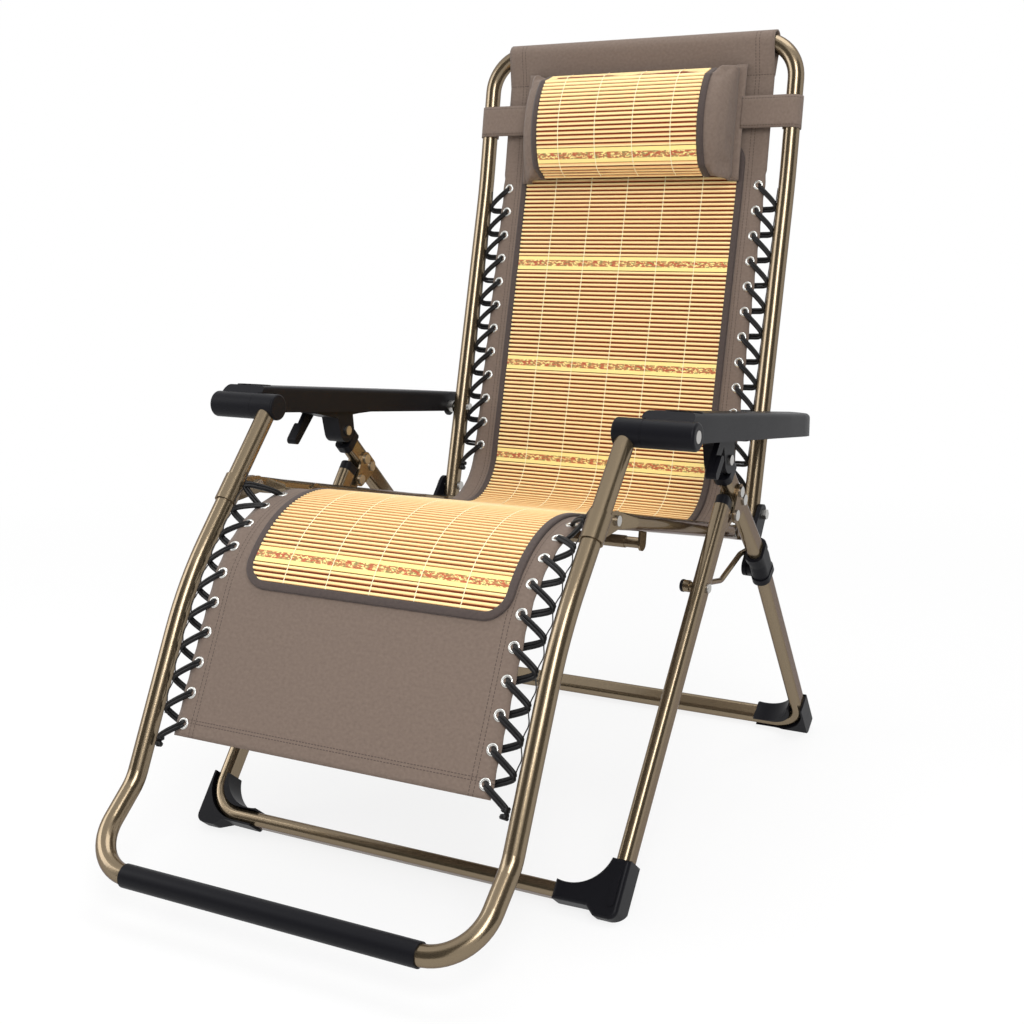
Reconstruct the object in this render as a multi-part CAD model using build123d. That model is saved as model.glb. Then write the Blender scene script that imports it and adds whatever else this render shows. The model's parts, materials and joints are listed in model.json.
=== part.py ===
from build123d import *
from math import acos, cos, degrees, radians, sin
import os

os.makedirs("parts", exist_ok=True)

# Sizes in mm. Front is -Y, the sitter's left is +X, the floor is z = 0.
# Tubes
tube_dia = 25.0
tube_wall = 1.5
rail_dia = 21.0
rail_wall = 1.5
brace_dia = 16.0
oval_wide = 31.0
oval_thin = 19.0
oval_round = 8.5
oval_wall = 1.6
tube_gap = 0.2
run_gap = 0.3
pin_gap = 0.05

# Side planes, each set in from the base's
base_half = 306.0
leg_rest_in = 37.0
back_in = 44.0
rail_in = 38.0
stay_in = 19.0

# Base, with its legs leaning from the upright; the front leg's length sets its lean
foot_axis_z = 17.0
front_top = (112.0, 451.584)
front_length = 556.7
rear_foot_y = 505.33
rear_lean = -36.7
rear_length = 402.74
post_lean = -45.4
post_to_lock = 246.0
leg_corner = 45.0
leg_cap_long = 15.0
shoe_high = 52.0
shoe_reach = 76.0
shoe_drop = 22.0
leg_pivot = (126.0, 431.0)
ear_down = 42.0
gusset_rivets_at = (93.0, 74.0)
gusset_thick = 3.0
stay_bolt_down = 130.0
stay_dia = 8.0
stay_eye = 16.0
stay_bend = 30.0
stay_knees = [(158.0, 329.0), (236.0, 351.0)]
stay_pivot = (318.0, 350.0)

# Back
back_pivot = (351.0, 388.0)
back_lean = 14.3
back_bend_up = 504.6
back_bend_radius = 900.0
back_top_lean = 9.9
back_top_up = 218.2
back_corner = 60.0
back_tail = 18.0
rail_pivot_down = 31.0
arm_rear_up = 132.0

# Leg rest
arm_pivot = (-127.5, 575.0)
leg_lean = 41.83
leg_bend_down = 278.7
leg_bend_radius = 480.0
shin_lean = 26.5
shin_length = 257.4
toe_lean = 49.8
toe_length = 119.2
toe_radius = 60.0
toe_corner = 65.0
rail_pivot = (-168.0, 474.0)
foot_sleeve_in = 62.0
foot_sleeve_wall = 1.9

# Seat
rail_flat = 6.0
rail_flat_high = 22.0
rail_front_flat = 22.0
rail_rear_flat = 76.0
rail_taper = 34.0
brace_at = (-50.0, 421.0)

# Armrest
arm_hub_dia = 36.0
hub_inward = 16.0
hub_outward = 22.0
hub_proud = 8.0
pad_inward = 21.5
pad_outward = 46.0
pad_rear = 431.0
pad_rise = 28.28
pad_drop = 8.94
pad_top_slope = 0.1227
pad_low_slope = 0.1138
pad_skin = 4.5
pad_skirt = 3.5
pad_sweep = 115.0
pad_edge = 7.0
arm_bolt_dia = 10.0

# Recline lock, from its pivot
lock_nose = 76.0
lock_tail = 114.0
lock_wide = 30.0
lock_floor_up = 22.4
lever_back = 46.0
lever_up = 36.36

# Fabric
sling_in = 34.0
sling_thick = 2.5
mat_in = 40.0
mat_thick = 4.0
mat_top_down = 149.0
hip = (345.0, 360.5)
hip_radius = 88.0
knee = (-252.9, 490.8)
knee_radius = 180.0
hem_z = 195.0
mat_end_z = 372.0
eyelet_in = 11.0
eyelet_dia = 14.0
back_eyelets = 12
leg_eyelets = 10
lace_pitch = 39.2
lace_dia = 4.0
back_first_up = 71.0
leg_first_up = 16.0

# Pillow
pillow_up = 90.0
pillow_high = 172.0
pillow_deep = 68.0
pillow_in = 67.0
pillow_flare = 29.0
pillow_bevel = (6.0, 60.0)
strap_wide = 60.0
strap_thick = 2.0
strap_lift = 17.0


def step(point, lean, distance):
    """Move a (y, z) point along a line that leans from the upright."""
    return (point[0] + distance * sin(radians(lean)), point[1] + distance * cos(radians(lean)))


def spot(x, point):
    return (x, point[0], point[1])


def pin(x0, x1, point, dia):
    return Pos((x0 + x1) / 2, point[0], point[1]) * Rot(0, 90, 0) * Cylinder(dia / 2, abs(x1 - x0))


def plate(x0, x1, face):
    """Extrude a (y, z) outline from x0 to x1."""
    return extrude(Plane.YZ.offset(x0) * face, amount=x1 - x0)


def link(*rounds):
    """Outline drawn tight around circles, each given as (y, z, radius)."""
    return make_hull((Sketch() + [Pos(y, z) * Circle(r) for y, z, r in rounds]).edges())


def area(*points):
    return make_face(Polyline(*points, close=True))


def both(solid):
    return solid, mirror(solid, about=Plane.YZ)


def lean_plane(point, lean, x=0.0):
    """Plane whose local x runs across the chair and whose local y runs up the leaning line."""
    return Plane(spot(x, point), x_dir=(1, 0, 0), z_dir=(0, -cos(radians(lean)), sin(radians(lean))))


def up_line(lean):
    return Axis((0, 0, 0), (0, sin(radians(lean)), cos(radians(lean))))


def oval(grow=0.0):
    return RectangleRounded(oval_wide + 2 * grow, oval_thin + 2 * grow, oval_round + grow)


def oval_bar(point, lean, x, start, end, section):
    """Extrude an oval section, wide way fore and aft, along a leaning line."""
    base = step(point, lean, start)
    up = (0, sin(radians(lean)), cos(radians(lean)))
    across = lean_plane(base, lean).z_dir
    return extrude(Plane(spot(x, base), x_dir=across, z_dir=up) * section, amount=end - start)


def round_tube(path, dia, wall):
    ring = Circle(dia / 2) - Circle(dia / 2 - wall)
    return sweep(Plane(path @ 0, z_dir=path % 0) * ring, path)


def save(name, *solids):
    shape = solids[0] if len(solids) == 1 else Compound(children=list(solids))
    export_step(shape, "parts/" + name + ".step")


def save_pair(name, solid):
    left, right = both(solid)
    save(name + "_L", left)
    save(name + "_R", right)


# Planes and points that the sizes set
leg_rest_half = base_half - leg_rest_in
back_half = base_half - back_in
rail_half = base_half - rail_in
stay_plane = base_half - stay_in
sling_half = back_half - sling_in
mat_half = sling_half - mat_in
eyelet_at = sling_half - eyelet_in
pillow_end = back_half - pillow_in
pillow_half = pillow_end - pillow_flare
pad_inner = base_half - pad_inward
pad_outer = base_half + pad_outward
hub_inner = leg_rest_half - hub_inward
hub_seam = leg_rest_half + hub_outward
hub_outer = pad_outer + hub_proud
front_lean = degrees(acos((front_top[1] - foot_axis_z) / front_length))
front_foot = step(front_top, front_lean, -front_length)
rear_foot = (rear_foot_y, foot_axis_z)
post_foot = step(rear_foot, rear_lean, rear_length)
lock_pivot = step(post_foot, post_lean, post_to_lock)
stay_bolt = step(front_top, front_lean, -stay_bolt_down)
rail_rear = step(back_pivot, back_lean, -rail_pivot_down)
arm_rear = step(back_pivot, back_lean, arm_rear_up)
back_bend = step(back_pivot, back_lean, back_bend_up)
back_top = step(back_bend, back_top_lean, back_top_up)
leg_bend = step(arm_pivot, leg_lean, -leg_bend_down)
leg_knee = step(leg_bend, shin_lean, -shin_length)
foot_bar = step(leg_knee, toe_lean, -toe_length)
tube_r = tube_dia / 2
base_in = base_half - oval_thin / 2
base_out = base_half + oval_thin / 2


# Base frames
def oval_frame(foot, lean, length):
    frame = lean_plane(foot, lean)
    corners = [(base_half, length), (base_half, 0), (-base_half, 0), (-base_half, length)]
    path = frame * FilletPolyline(*corners, radius=leg_corner)
    ring = oval() - oval(-oval_wall)
    return sweep(Plane(path @ 0, x_dir=frame.z_dir, z_dir=path % 0) * ring, path)


ear_root = step(front_top, front_lean, -ear_down)
ear = plate(base_half - 6, base_half + 6, link((*leg_pivot, 11), (*ear_root, 11)))
cap_from = front_length + 5 - leg_cap_long
front_leg_frame = oval_frame(front_foot, front_lean, cap_from)
for side in both(ear):
    front_leg_frame += side
for side in (-1, 1):
    front_leg_frame -= pin(side * (base_in - 5), side * (base_out + 5), leg_pivot, 8 + 2 * pin_gap)
    front_leg_frame -= pin(side * (base_in - 5), side * (base_out + 5), stay_bolt, 6)
save("front_leg_frame", front_leg_frame)
save("rear_leg_frame", oval_frame(rear_foot, rear_lean, rear_length - 3))

leg_cap = oval_bar(front_foot, front_lean, base_half, cap_from, front_length + 5, oval())
leg_cap = fillet(leg_cap.faces().sort_by(up_line(front_lean))[-1].edges(), 4)
plug = RectangleRounded(oval_wide - 4.4, oval_thin - 4.4, 4.8)
leg_cap += oval_bar(front_foot, front_lean, base_half, cap_from - 7, cap_from, plug)
ear_slot = link((*leg_pivot, 11 + run_gap), (*ear_root, 11 + run_gap))
leg_cap -= plate(base_half - 6 - run_gap, base_half + 6 + run_gap, ear_slot)
save("leg_caps", *both(leg_cap))


def shoe(foot, lean, side, closed):
    """Moulded corner foot: one closed face, the other face open onto the bent tube."""
    frame = lean_plane(foot, lean)
    wall = oval_thin / 2 + 3
    thick = oval_wide / 2 + 3
    out, low, high, arm = base_half + wall, -shoe_drop, shoe_high, base_half - shoe_reach
    throat = out - 2 * wall
    bulge = base_half - 18
    rim = [(arm, wall), (arm, -wall), (bulge - 12, -wall + 1), (bulge, low)]
    rim += [(out, low), (out, high), (throat, high)]
    rim = [(side * x, y) for x, y in rim]
    web = ThreePointArc((side * throat, high), (side * (throat - 14), wall + 14), (side * arm, wall))
    face = make_face(Polyline(*rim) + web)
    for x, radius in ((out, 12), (bulge, 7)):
        face = fillet(face.vertices().sort_by_distance((side * x, low, 0))[0], radius)
    body = extrude(frame * face, amount=thick, both=True)
    front = body.faces().sort_by(Axis(frame.origin, frame.z_dir))[-1 if closed > 0 else 0]
    body = fillet(front.edges(), 5)
    rib = Pos(side * (base_half + 2), 15) * RectangleRounded(9, shoe_high - 8, 4.4)
    body += extrude(frame.offset(closed * (thick - 1)) * rib, amount=closed * 2.6, dir=frame.z_dir)
    half = oval_thin / 2 + tube_gap
    outer = area((side * (base_half - 150), -half), (side * (base_half + half), -half),
                 (side * (base_half + half), 150), (side * (base_half - 150), 150))
    heel = outer.vertices().sort_by_distance((side * (base_half + half), -half, 0))[0]
    outer = fillet(heel, leg_corner + half)
    inner = area((side * (base_half - 160), half), (side * (base_half - half), half),
                 (side * (base_half - half), 160), (side * (base_half - 160), 160))
    bend = inner.vertices().sort_by_distance((side * (base_half - half), half, 0))[0]
    inner = fillet(bend, leg_corner - half)
    inside = oval_wide / 2 + tube_gap
    channel = extrude(frame.offset(closed * inside) * (outer - inner), amount=-closed * 60, dir=frame.z_dir)
    body -= channel
    return body - Pos(0, foot[0], -base_half) * Box(4 * base_half, 2 * base_half, 2 * base_half)


shoes = {"front_L": (front_foot, front_lean, 1, 1), "front_R": (front_foot, front_lean, -1, -1),
         "rear_L": (rear_foot, rear_lean, 1, -1), "rear_R": (rear_foot, rear_lean, -1, 1)}
for name, setting in shoes.items():
    save("foot_" + name, shoe(*setting))

# Posts, gussets and their rivets
post_top = post_to_lock - 26
post = oval_bar(post_foot, post_lean, base_half, 4, post_top, oval())
post -= oval_bar(post_foot, post_lean, base_half, 0, post_top + 5, oval(-oval_wall))
rivet_spots = [step(post_foot, post_lean, post_to_lock - d) for d in gusset_rivets_at]
gusset_face = link((*leg_pivot, 11), *[(*p, 11) for p in rivet_spots])
gusset_out = plate(base_out + run_gap, base_out + run_gap + gusset_thick, gusset_face)
gusset_in = plate(base_in - run_gap - gusset_thick, base_in - run_gap, gusset_face)
rivets = []
for point in [*rivet_spots, leg_pivot]:
    reach = oval_thin / 2 + run_gap + gusset_thick
    rivet = pin(base_half - reach, base_half + reach, point, 8)
    for end, size in ((reach, 2.5), (-reach, -2.5)):
        rivet += pin(base_half + end, base_half + end + size, point, 15)
    gusset_out -= pin(base_out, base_out + 10, point, 8)
    gusset_in -= pin(base_in - 10, base_in, point, 8)
    post -= pin(base_in - 1, base_out + 1, point, 8)
    rivets.append(rivet)
save_pair("upper_post", post)
save_pair("gusset_outer", gusset_out)
save_pair("gusset_inner", gusset_in)
save("gusset_rivets", *[half for rivet in rivets for half in both(rivet)])

# Collar that joins leg and post, with the lug that carries the back
lug_in, lug_out = back_half + tube_r + 0.7, back_half + tube_r + 6.7
sleeve = RectangleRounded(oval_wide + 8, oval_thin + 6, oval_round + 3)
band = RectangleRounded(oval_wide + 12, oval_thin + 8, oval_round + 4)
collar = oval_bar(rear_foot, rear_lean, base_half, rear_length - 36, rear_length + 3, sleeve)
collar += oval_bar(post_foot, post_lean, base_half, -3, 24, sleeve)
collar += oval_bar(post_foot, post_lean, base_half, 14, 24, band)
collar += oval_bar(rear_foot, rear_lean, base_half, rear_length - 36, rear_length - 26, band)
boss_at = step(rear_foot, rear_lean, rear_length - 24)
boss_at = (boss_at[0] + 11, boss_at[1])
collar += plate(lug_in, base_half - 8, link((*boss_at, 12), (boss_at[0] + 6, boss_at[1] - 6, 10)))
lug_face = link((*boss_at, 14), (*stay_pivot, 13), (*back_pivot, 15), (boss_at[0] + 14, boss_at[1], 16))
collar += plate(lug_in, lug_out, lug_face)
collar -= oval_bar(rear_foot, rear_lean, base_half, rear_length - 50, rear_length, oval(tube_gap))
collar -= oval_bar(post_foot, post_lean, base_half, 0, 40, oval(tube_gap))
collar -= pin(lug_in - 5, lug_out + 5, back_pivot, 8)
collar -= pin(lug_in - 5, lug_out + 5, stay_pivot, 6)
save_pair("collar", collar)

back_bolt = pin(back_half - tube_r - run_gap, lug_out, back_pivot, 8)
back_bolt += pin(back_half - tube_r - run_gap - 4, back_half - tube_r - run_gap, back_pivot, 14)
back_bolt += plate(lug_out, lug_out + 6.5, Pos(*back_pivot) * RegularPolygon(8, 6))
save("back_pivot_bolts", *both(back_bolt))

# Stays between the front legs and the collars
stay_run = [stay_bolt, *stay_knees, stay_pivot]
stay_path = FilletPolyline(*[spot(stay_plane, p) for p in stay_run], radius=stay_bend)
stay = sweep(Plane(stay_path @ 0, z_dir=stay_path % 0) * Circle(stay_dia / 2), stay_path)
for point in (stay_bolt, stay_pivot):
    stay += pin(stay_plane - stay_dia / 2, stay_plane + stay_dia / 2, point, stay_eye)
stay -= pin(stay_plane - 20, stay_plane + 20, stay_pivot, 6 + 2 * pin_gap)
stay += pin(stay_plane + stay_dia / 2, base_in - run_gap, stay_bolt, 12)
save_pair("stay", stay)
stay_button = pin(stay_plane - stay_dia / 2 - 5, stay_plane - stay_dia / 2, stay_bolt, 17)
stay_button = fillet(stay_button.edges().sort_by(Axis.X)[0], 3)
save("stay_buttons", *both(stay_button))
stay_rivet = pin(lug_in, stay_plane + stay_dia / 2 + run_gap, stay_pivot, 6)
stay_rivet += pin(stay_plane + stay_dia / 2 + run_gap, stay_plane + stay_dia / 2 + 1.6, stay_pivot, 12)
save("stay_rivets", *both(stay_rivet))
leg_bolt = pin(base_in, base_out, stay_bolt, 6)
leg_bolt += fillet(pin(base_out, base_out + 3.5, stay_bolt, 13).edges().sort_by(Axis.X)[-1], 1.5)
save("stay_leg_bolts", *both(leg_bolt))

# Back frame: an upside-down U with a plate for the seat rail under each leg
back_end = step(back_pivot, back_lean, -back_tail)
back_run = [back_end, back_bend, back_top]
back_points = [spot(back_half, p) for p in back_run] + [spot(-back_half, p) for p in reversed(back_run)]
back_turns = [back_bend_radius, back_corner]
back_path = FilletPolyline(*back_points, radius=back_turns + back_turns[::-1])
back_frame = round_tube(back_path, tube_dia, tube_wall)
plate_out = rail_half - rail_flat / 2 - run_gap
tail_face = link((*rail_rear, 11), (*back_end, 12), (*step(back_end, back_lean, 8), 12))
for tail in both(plate(plate_out - 4, plate_out, tail_face)):
    back_frame += tail
for side in (-1, 1):
    back_frame -= pin(side * (back_half - 20), side * (back_half + 20), back_pivot, 8 + 2 * pin_gap)
    back_frame -= pin(side * (back_half - 20), side * (back_half + 20), rail_rear, 8)
    back_frame -= pin(side * (back_half - 20), side * (back_half + 20), arm_rear, 8)
save("back_frame", back_frame)

rail_out = rail_half + rail_flat / 2
rail_bolt = pin(plate_out - 4, rail_out + run_gap, rail_rear, 8)
rail_bolt += pin(plate_out - 7.5, plate_out - 4, rail_rear, 14)
rail_bolt += pin(rail_out + run_gap, rail_out + 3.5, rail_rear, 13)
save("rail_rear_bolts", *both(rail_bolt))

arm_bolt = pin(back_half - tube_r, pad_inner + pad_skirt + run_gap, arm_rear, 8)
arm_bolt += pin(back_half - tube_r - 4, back_half - tube_r, arm_rear, 14)
arm_bolt += pin(back_half + tube_r, pad_inner - run_gap, arm_rear, 20)
arm_bolt += pin(pad_inner + pad_skirt + run_gap, pad_inner + pad_skirt + 4, arm_rear, 21)
save("arm_rear_bolts", *both(arm_bolt))

# Leg rest frame, foot sleeve and rail brackets
leg_run = [arm_pivot, leg_bend, leg_knee, foot_bar]
leg_points = [spot(leg_rest_half, p) for p in leg_run] + [spot(-leg_rest_half, p) for p in reversed(leg_run)]
leg_turns = [leg_bend_radius, toe_radius, toe_corner]
leg_path = FilletPolyline(*leg_points, radius=leg_turns + leg_turns[::-1])
save("leg_rest_frame", round_tube(leg_path, tube_dia, tube_wall))
sleeve_r = tube_r + tube_gap
foot_sleeve_half = leg_rest_half - foot_sleeve_in
foot_sleeve = pin(-foot_sleeve_half, foot_sleeve_half, foot_bar, 2 * (sleeve_r + foot_sleeve_wall))
foot_sleeve -= pin(-foot_sleeve_half - 1, foot_sleeve_half + 1, foot_bar, 2 * sleeve_r)
save("foot_bar_sleeve", foot_sleeve)

clamp_at = step(arm_pivot, leg_lean, -(arm_pivot[1] - rail_pivot[1]) / cos(radians(leg_lean)))
clamp_up = (0, sin(radians(leg_lean)), cos(radians(leg_lean)))
clamp_plane = Plane(spot(leg_rest_half, step(clamp_at, leg_lean, -19)), x_dir=(1, 0, 0), z_dir=clamp_up)
clamp = extrude(clamp_plane * Circle(sleeve_r + 2), amount=38)
clamp_foot, clamp_head = step(clamp_at, leg_lean, -11), step(clamp_at, leg_lean, 11)
ears = link((*rail_pivot, 12), (*clamp_foot, 8), (*clamp_head, 8))
for inner in (rail_half - rail_flat / 2 - run_gap - 2.5, rail_out + run_gap):
    clamp += plate(inner, inner + 2.5, ears)
clamp -= extrude(clamp_plane.offset(-5) * Circle(sleeve_r), amount=60)
clamp -= pin(leg_rest_half - 20, leg_rest_half + 20, rail_pivot, 8)
save_pair("leg_bracket", clamp)
front_bolt = pin(rail_half - 5.8, rail_half + 5.8, rail_pivot, 8)
front_bolt += pin(rail_half - 9.3, rail_half - 5.8, rail_pivot, 14)
front_bolt += pin(rail_half + 5.8, rail_half + 9.3, rail_pivot, 13)
save("rail_front_bolts", *both(front_bolt))

# Seat rails with pressed flat ends, and the cross brace
rail_line = Line(spot(rail_half, rail_pivot), spot(rail_half, rail_rear))
flat = RectangleRounded(rail_flat_high, rail_flat, 2)
round_end = RectangleRounded(rail_dia, rail_dia, rail_dia / 2 - 0.01)
rear_stop = rail_line.length - rail_rear_flat
stops = [0, rail_front_flat, rail_front_flat + rail_taper, rear_stop - rail_taper, rear_stop]


def rail_plane(distance):
    here = rail_line.position_at(distance / rail_line.length)
    return Plane(here, x_dir=Vector(1, 0, 0).cross(rail_line % 0), z_dir=rail_line % 0)


rail_ring = Circle(rail_dia / 2) - Circle(rail_dia / 2 - rail_wall)
rail = extrude(rail_plane(stops[0]) * flat, amount=rail_front_flat)
rail += loft([rail_plane(stops[1]) * flat, rail_plane(stops[2]) * round_end])
rail += extrude(rail_plane(stops[2]) * rail_ring, amount=stops[3] - stops[2])
rail += loft([rail_plane(stops[3]) * round_end, rail_plane(stops[4]) * flat])
rail += extrude(rail_plane(stops[4]) * flat, amount=rail_rear_flat)
for point in (rail_pivot, rail_rear):
    rail += pin(rail_half - rail_flat / 2, rail_out, point, rail_flat_high)
    rail -= pin(rail_half - 20, rail_half + 20, point, 8 + 2 * pin_gap)
save_pair("seat_rail", rail)

tab_out = rail_half - rail_dia / 2 - run_gap
tab_top = (brace_at[0] + 4, brace_at[1] + 25)
brace = pin(-tab_out + 24, tab_out - 24, brace_at, brace_dia)
brace -= pin(-tab_out, tab_out, brace_at, brace_dia - 3)
tab = plate(tab_out - 3, tab_out, link((*brace_at, 10), (*tab_top, 10)))
for side in both(tab - pin(tab_out - 9, tab_out + 9, tab_top, 6)):
    brace += side
for end in both(pin(tab_out - 26, tab_out - 2, brace_at, brace_dia - 2)):
    brace += end
save("seat_cross_brace", brace)

# Armrests and the sleeves that carry them on the leg rest
hub_sleeve = pin(hub_inner, hub_seam, arm_pivot, arm_hub_dia)
hub_sleeve = fillet(hub_sleeve.edges().sort_by(Axis.X)[0], 3)
socket_plane = Plane(spot(leg_rest_half, arm_pivot), x_dir=(1, 0, 0), z_dir=clamp_up)
hub_sleeve -= extrude(socket_plane * Circle(tube_r + tube_gap), amount=-40)
hub_sleeve -= pin(hub_seam - 9, hub_seam + 5, arm_pivot, arm_bolt_dia)
save_pair("arm_sleeve", hub_sleeve)
pivot_bolt = pin(hub_seam - 9, hub_outer - 3, arm_pivot, arm_bolt_dia)
pivot_bolt += pin(hub_outer - 3, hub_outer, arm_pivot, 16)
save("arm_pivot_bolts", *both(pivot_bolt))


def pad_top(y):
    return arm_pivot[1] + pad_rise - pad_top_slope * (y - arm_pivot[0])


def pad_low(y):
    return arm_pivot[1] - pad_drop - pad_low_slope * (y - arm_pivot[0])


pad_front = arm_pivot[0]
inner_round = 0.237 * (pad_outer - pad_inner)
pad_floor = pad_low(pad_rear) - arm_hub_dia
pad_reach = pad_top(pad_front) - pad_floor + arm_hub_dia
brow = pad_front + 14
side_face = area((pad_front, arm_pivot[1] + 16), (brow, pad_top(brow)), (pad_rear, pad_top(pad_rear)),
                 (pad_rear, pad_low(pad_rear)), (pad_front + 20, pad_low(pad_front + 20)),
                 (pad_front, arm_pivot[1] - 6))
sweep_from = (pad_outer, pad_rear - pad_sweep)
sweep_to = (pad_inner + inner_round, pad_rear)
plan_front = ((pad_inner, pad_front - 5), (pad_outer, pad_front - 5))
plan_sides = Polyline(sweep_to, (pad_inner, pad_rear), *plan_front, sweep_from)
plan_face = make_face(plan_sides + TangentArc(sweep_from, sweep_to, tangent=(0, 1)))
plan_face = fillet(plan_face.vertices().sort_by_distance((pad_inner, pad_rear, 0))[0], 0.6 * inner_round)
plan_face = fillet(plan_face.vertices().sort_by_distance((*sweep_to, 0))[0], 0.8 * inner_round)
pad = plate(pad_inner, pad_outer, side_face)
pad &= extrude(Plane.XY.offset(pad_floor) * plan_face, amount=pad_reach)
top_face = max(pad.faces(), key=lambda face: face.normal_at().Z * face.area)
pad = fillet([edge for edge in top_face.edges() if edge.center().Y > brow + 1], pad_edge)
hub = pin(hub_seam + run_gap, hub_outer, arm_pivot, arm_hub_dia)
hub = fillet(hub.edges().sort_by(Axis.X)[-1], 4)
arm = pad - pin(hub_inner, hub_seam + run_gap, arm_pivot, arm_hub_dia + 1.2) + hub
cut_front = pad_front + 36
cut_face = area((cut_front, pad_top(cut_front) - pad_skin), (pad_rear - 6, pad_top(pad_rear - 6) - pad_skin),
                (pad_rear - 6, pad_floor), (cut_front, pad_floor))
cut_plan = offset(plan_face, amount=-pad_skirt)
hollow = plate(pad_inner, pad_outer, cut_face)
arm -= hollow & extrude(Plane.XY.offset(pad_floor) * cut_plan, amount=pad_reach)
arm += plate(pad_inner, pad_inner + pad_skirt, link((*arm_rear, 15), (arm_rear[0], arm_rear[1] + 8, 15)))
arm -= pin(pad_inner - 5, pad_inner + pad_skirt + 1, arm_rear, 15)
arm -= pin(hub_seam, hub_outer + 1, arm_pivot, arm_bolt_dia + 2 * pin_gap)
arm -= pin(hub_outer - 3 - run_gap, hub_outer + 1, arm_pivot, 17)
ring_y = pad_front + 40
ring_at = ((hub_seam + hub_outer) / 2, ring_y, pad_top(ring_y))
ring_plane = Plane(ring_at, x_dir=(1, 0, 0), z_dir=(0, pad_top_slope, 1))
for outer_r in (23, 13):
    arm += extrude(ring_plane.offset(-1) * (Circle(outer_r) - Circle(outer_r - 3)), amount=2.2)
save_pair("armrest", arm)

# Recline lock: head on the post, slider under the armrest, lever on the slider
lock_x0, lock_x1 = base_half - lock_wide / 2, base_half + lock_wide / 2
head_skin = RectangleRounded(oval_wide + 7, oval_thin + 7, 9)
head = oval_bar(post_foot, post_lean, base_half, post_to_lock - 34, post_to_lock - 21, head_skin)
head -= oval_bar(post_foot, post_lean, base_half, post_to_lock - 90, post_top + run_gap, oval(tube_gap))
head_root = step(lock_pivot, post_lean, -22)
head += plate(base_half - 4, base_half + 4, link((*lock_pivot, 14), (*head_root, 13)))
head -= pin(lock_x0 - 5, lock_x1 + 5, lock_pivot, 8 + 2 * pin_gap)
save_pair("post_head", head)
nose, tail = lock_pivot[0] - lock_nose, lock_pivot[0] + lock_tail
lock_floor = lock_pivot[1] + lock_floor_up
slide_room = pad_skin + 5
slider_face = area((nose, pad_top(nose) - slide_room), (tail, pad_top(tail) - slide_room),
                   (tail, pad_low(tail) + 3), (lock_pivot[0] + 32, lock_floor), (nose + 46, lock_floor),
                   (nose, pad_low(nose) - 3))
slider_face += link((*lock_pivot, 18), (lock_pivot[0] - 6, lock_floor + 11, 20))
slider = plate(lock_x0, lock_x1, slider_face)
slot = link((*lock_pivot, 16), (*step(lock_pivot, post_lean, -60), 22))
slider -= plate(base_half - 4.4, base_half + 4.4, slot)
slider -= pin(lock_x0 - 5, lock_x1 + 5, lock_pivot, 8)
lever_hub = (lock_pivot[0] - lever_back, lock_pivot[1] + lever_up)
slider -= pin(base_half, lock_x1 + 5, lever_hub, 8 + 2 * pin_gap)
save_pair("lock_slider", slider)
lock_pin = pin(lock_x0 - 2.5, lock_x1 + 2.5, lock_pivot, 8)
for end, size in ((lock_x0, -3), (lock_x1, 3)):
    lock_pin += pin(end, end + size, lock_pivot, 14)
save("lock_pins", *both(lock_pin))
lever_tip = (lever_hub[0] - 40, lever_hub[1] - 42)
lever = plate(lock_x1 + run_gap, lock_x1 + 8, link((*lever_hub, 9), (*lever_tip, 6)))
lever_grip = link((*lever_tip, 6), (lever_tip[0] + 16, lever_tip[1] + 17, 6))
lever += plate(lock_x1 + run_gap, lock_x1 + 15, lever_grip)
lever += pin(base_half + 1, lock_x1 + 1, lever_hub, 8)
save_pair("lock_lever", lever)

# Sling and mat: one side line from the back's top bar to the hem
hem = step(leg_bend, shin_lean, -(leg_bend[1] - hem_z) / cos(radians(shin_lean)))


def cloth(path, half, thick):
    across = Plane(path @ 0, x_dir=(1, 0, 0), z_dir=path % 0)
    return sweep(across * Rectangle(2 * half, thick), path)


def unit(a, b):
    size = ((b[0] - a[0]) ** 2 + (b[1] - a[1]) ** 2) ** 0.5
    return ((b[0] - a[0]) / size, (b[1] - a[1]) / size)


def ahead(point, way, distance):
    return (point[0] + way[0] * distance, point[1] + way[1] * distance)


def turn_reach(way_in, way_out, radius):
    """Tangent length of a round corner."""
    dot = way_in[0] * way_out[0] + way_in[1] * way_out[1]
    return radius * ((1 - dot) / (1 + dot)) ** 0.5


down_back, along_seat = unit(back_bend, hip), unit(hip, knee)
hip_reach = turn_reach(down_back, along_seat, hip_radius)
seam = 0.15


def front_of(way):
    """Direction out of the fabric's front face, for a side line run from top to hem."""
    return (way[1], -way[0])


def layer(points, lift):
    """Side line points moved out of the front face, each corner kept on both its lines."""
    moved = []
    for i, p in enumerate(points):
        ways = [unit(points[j], points[j + 1]) for j in (i - 1, i) if 0 <= j < len(points) - 1]
        n = [front_of(w) for w in ways]
        if len(n) == 1:
            moved.append((p[0] + n[0][0] * lift, p[1] + n[0][1] * lift))
        else:
            share = lift / (1 + n[0][0] * n[1][0] + n[0][1] * n[1][1])
            moved.append((p[0] + (n[0][0] + n[1][0]) * share, p[1] + (n[0][1] + n[1][1]) * share))
    return moved


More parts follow.
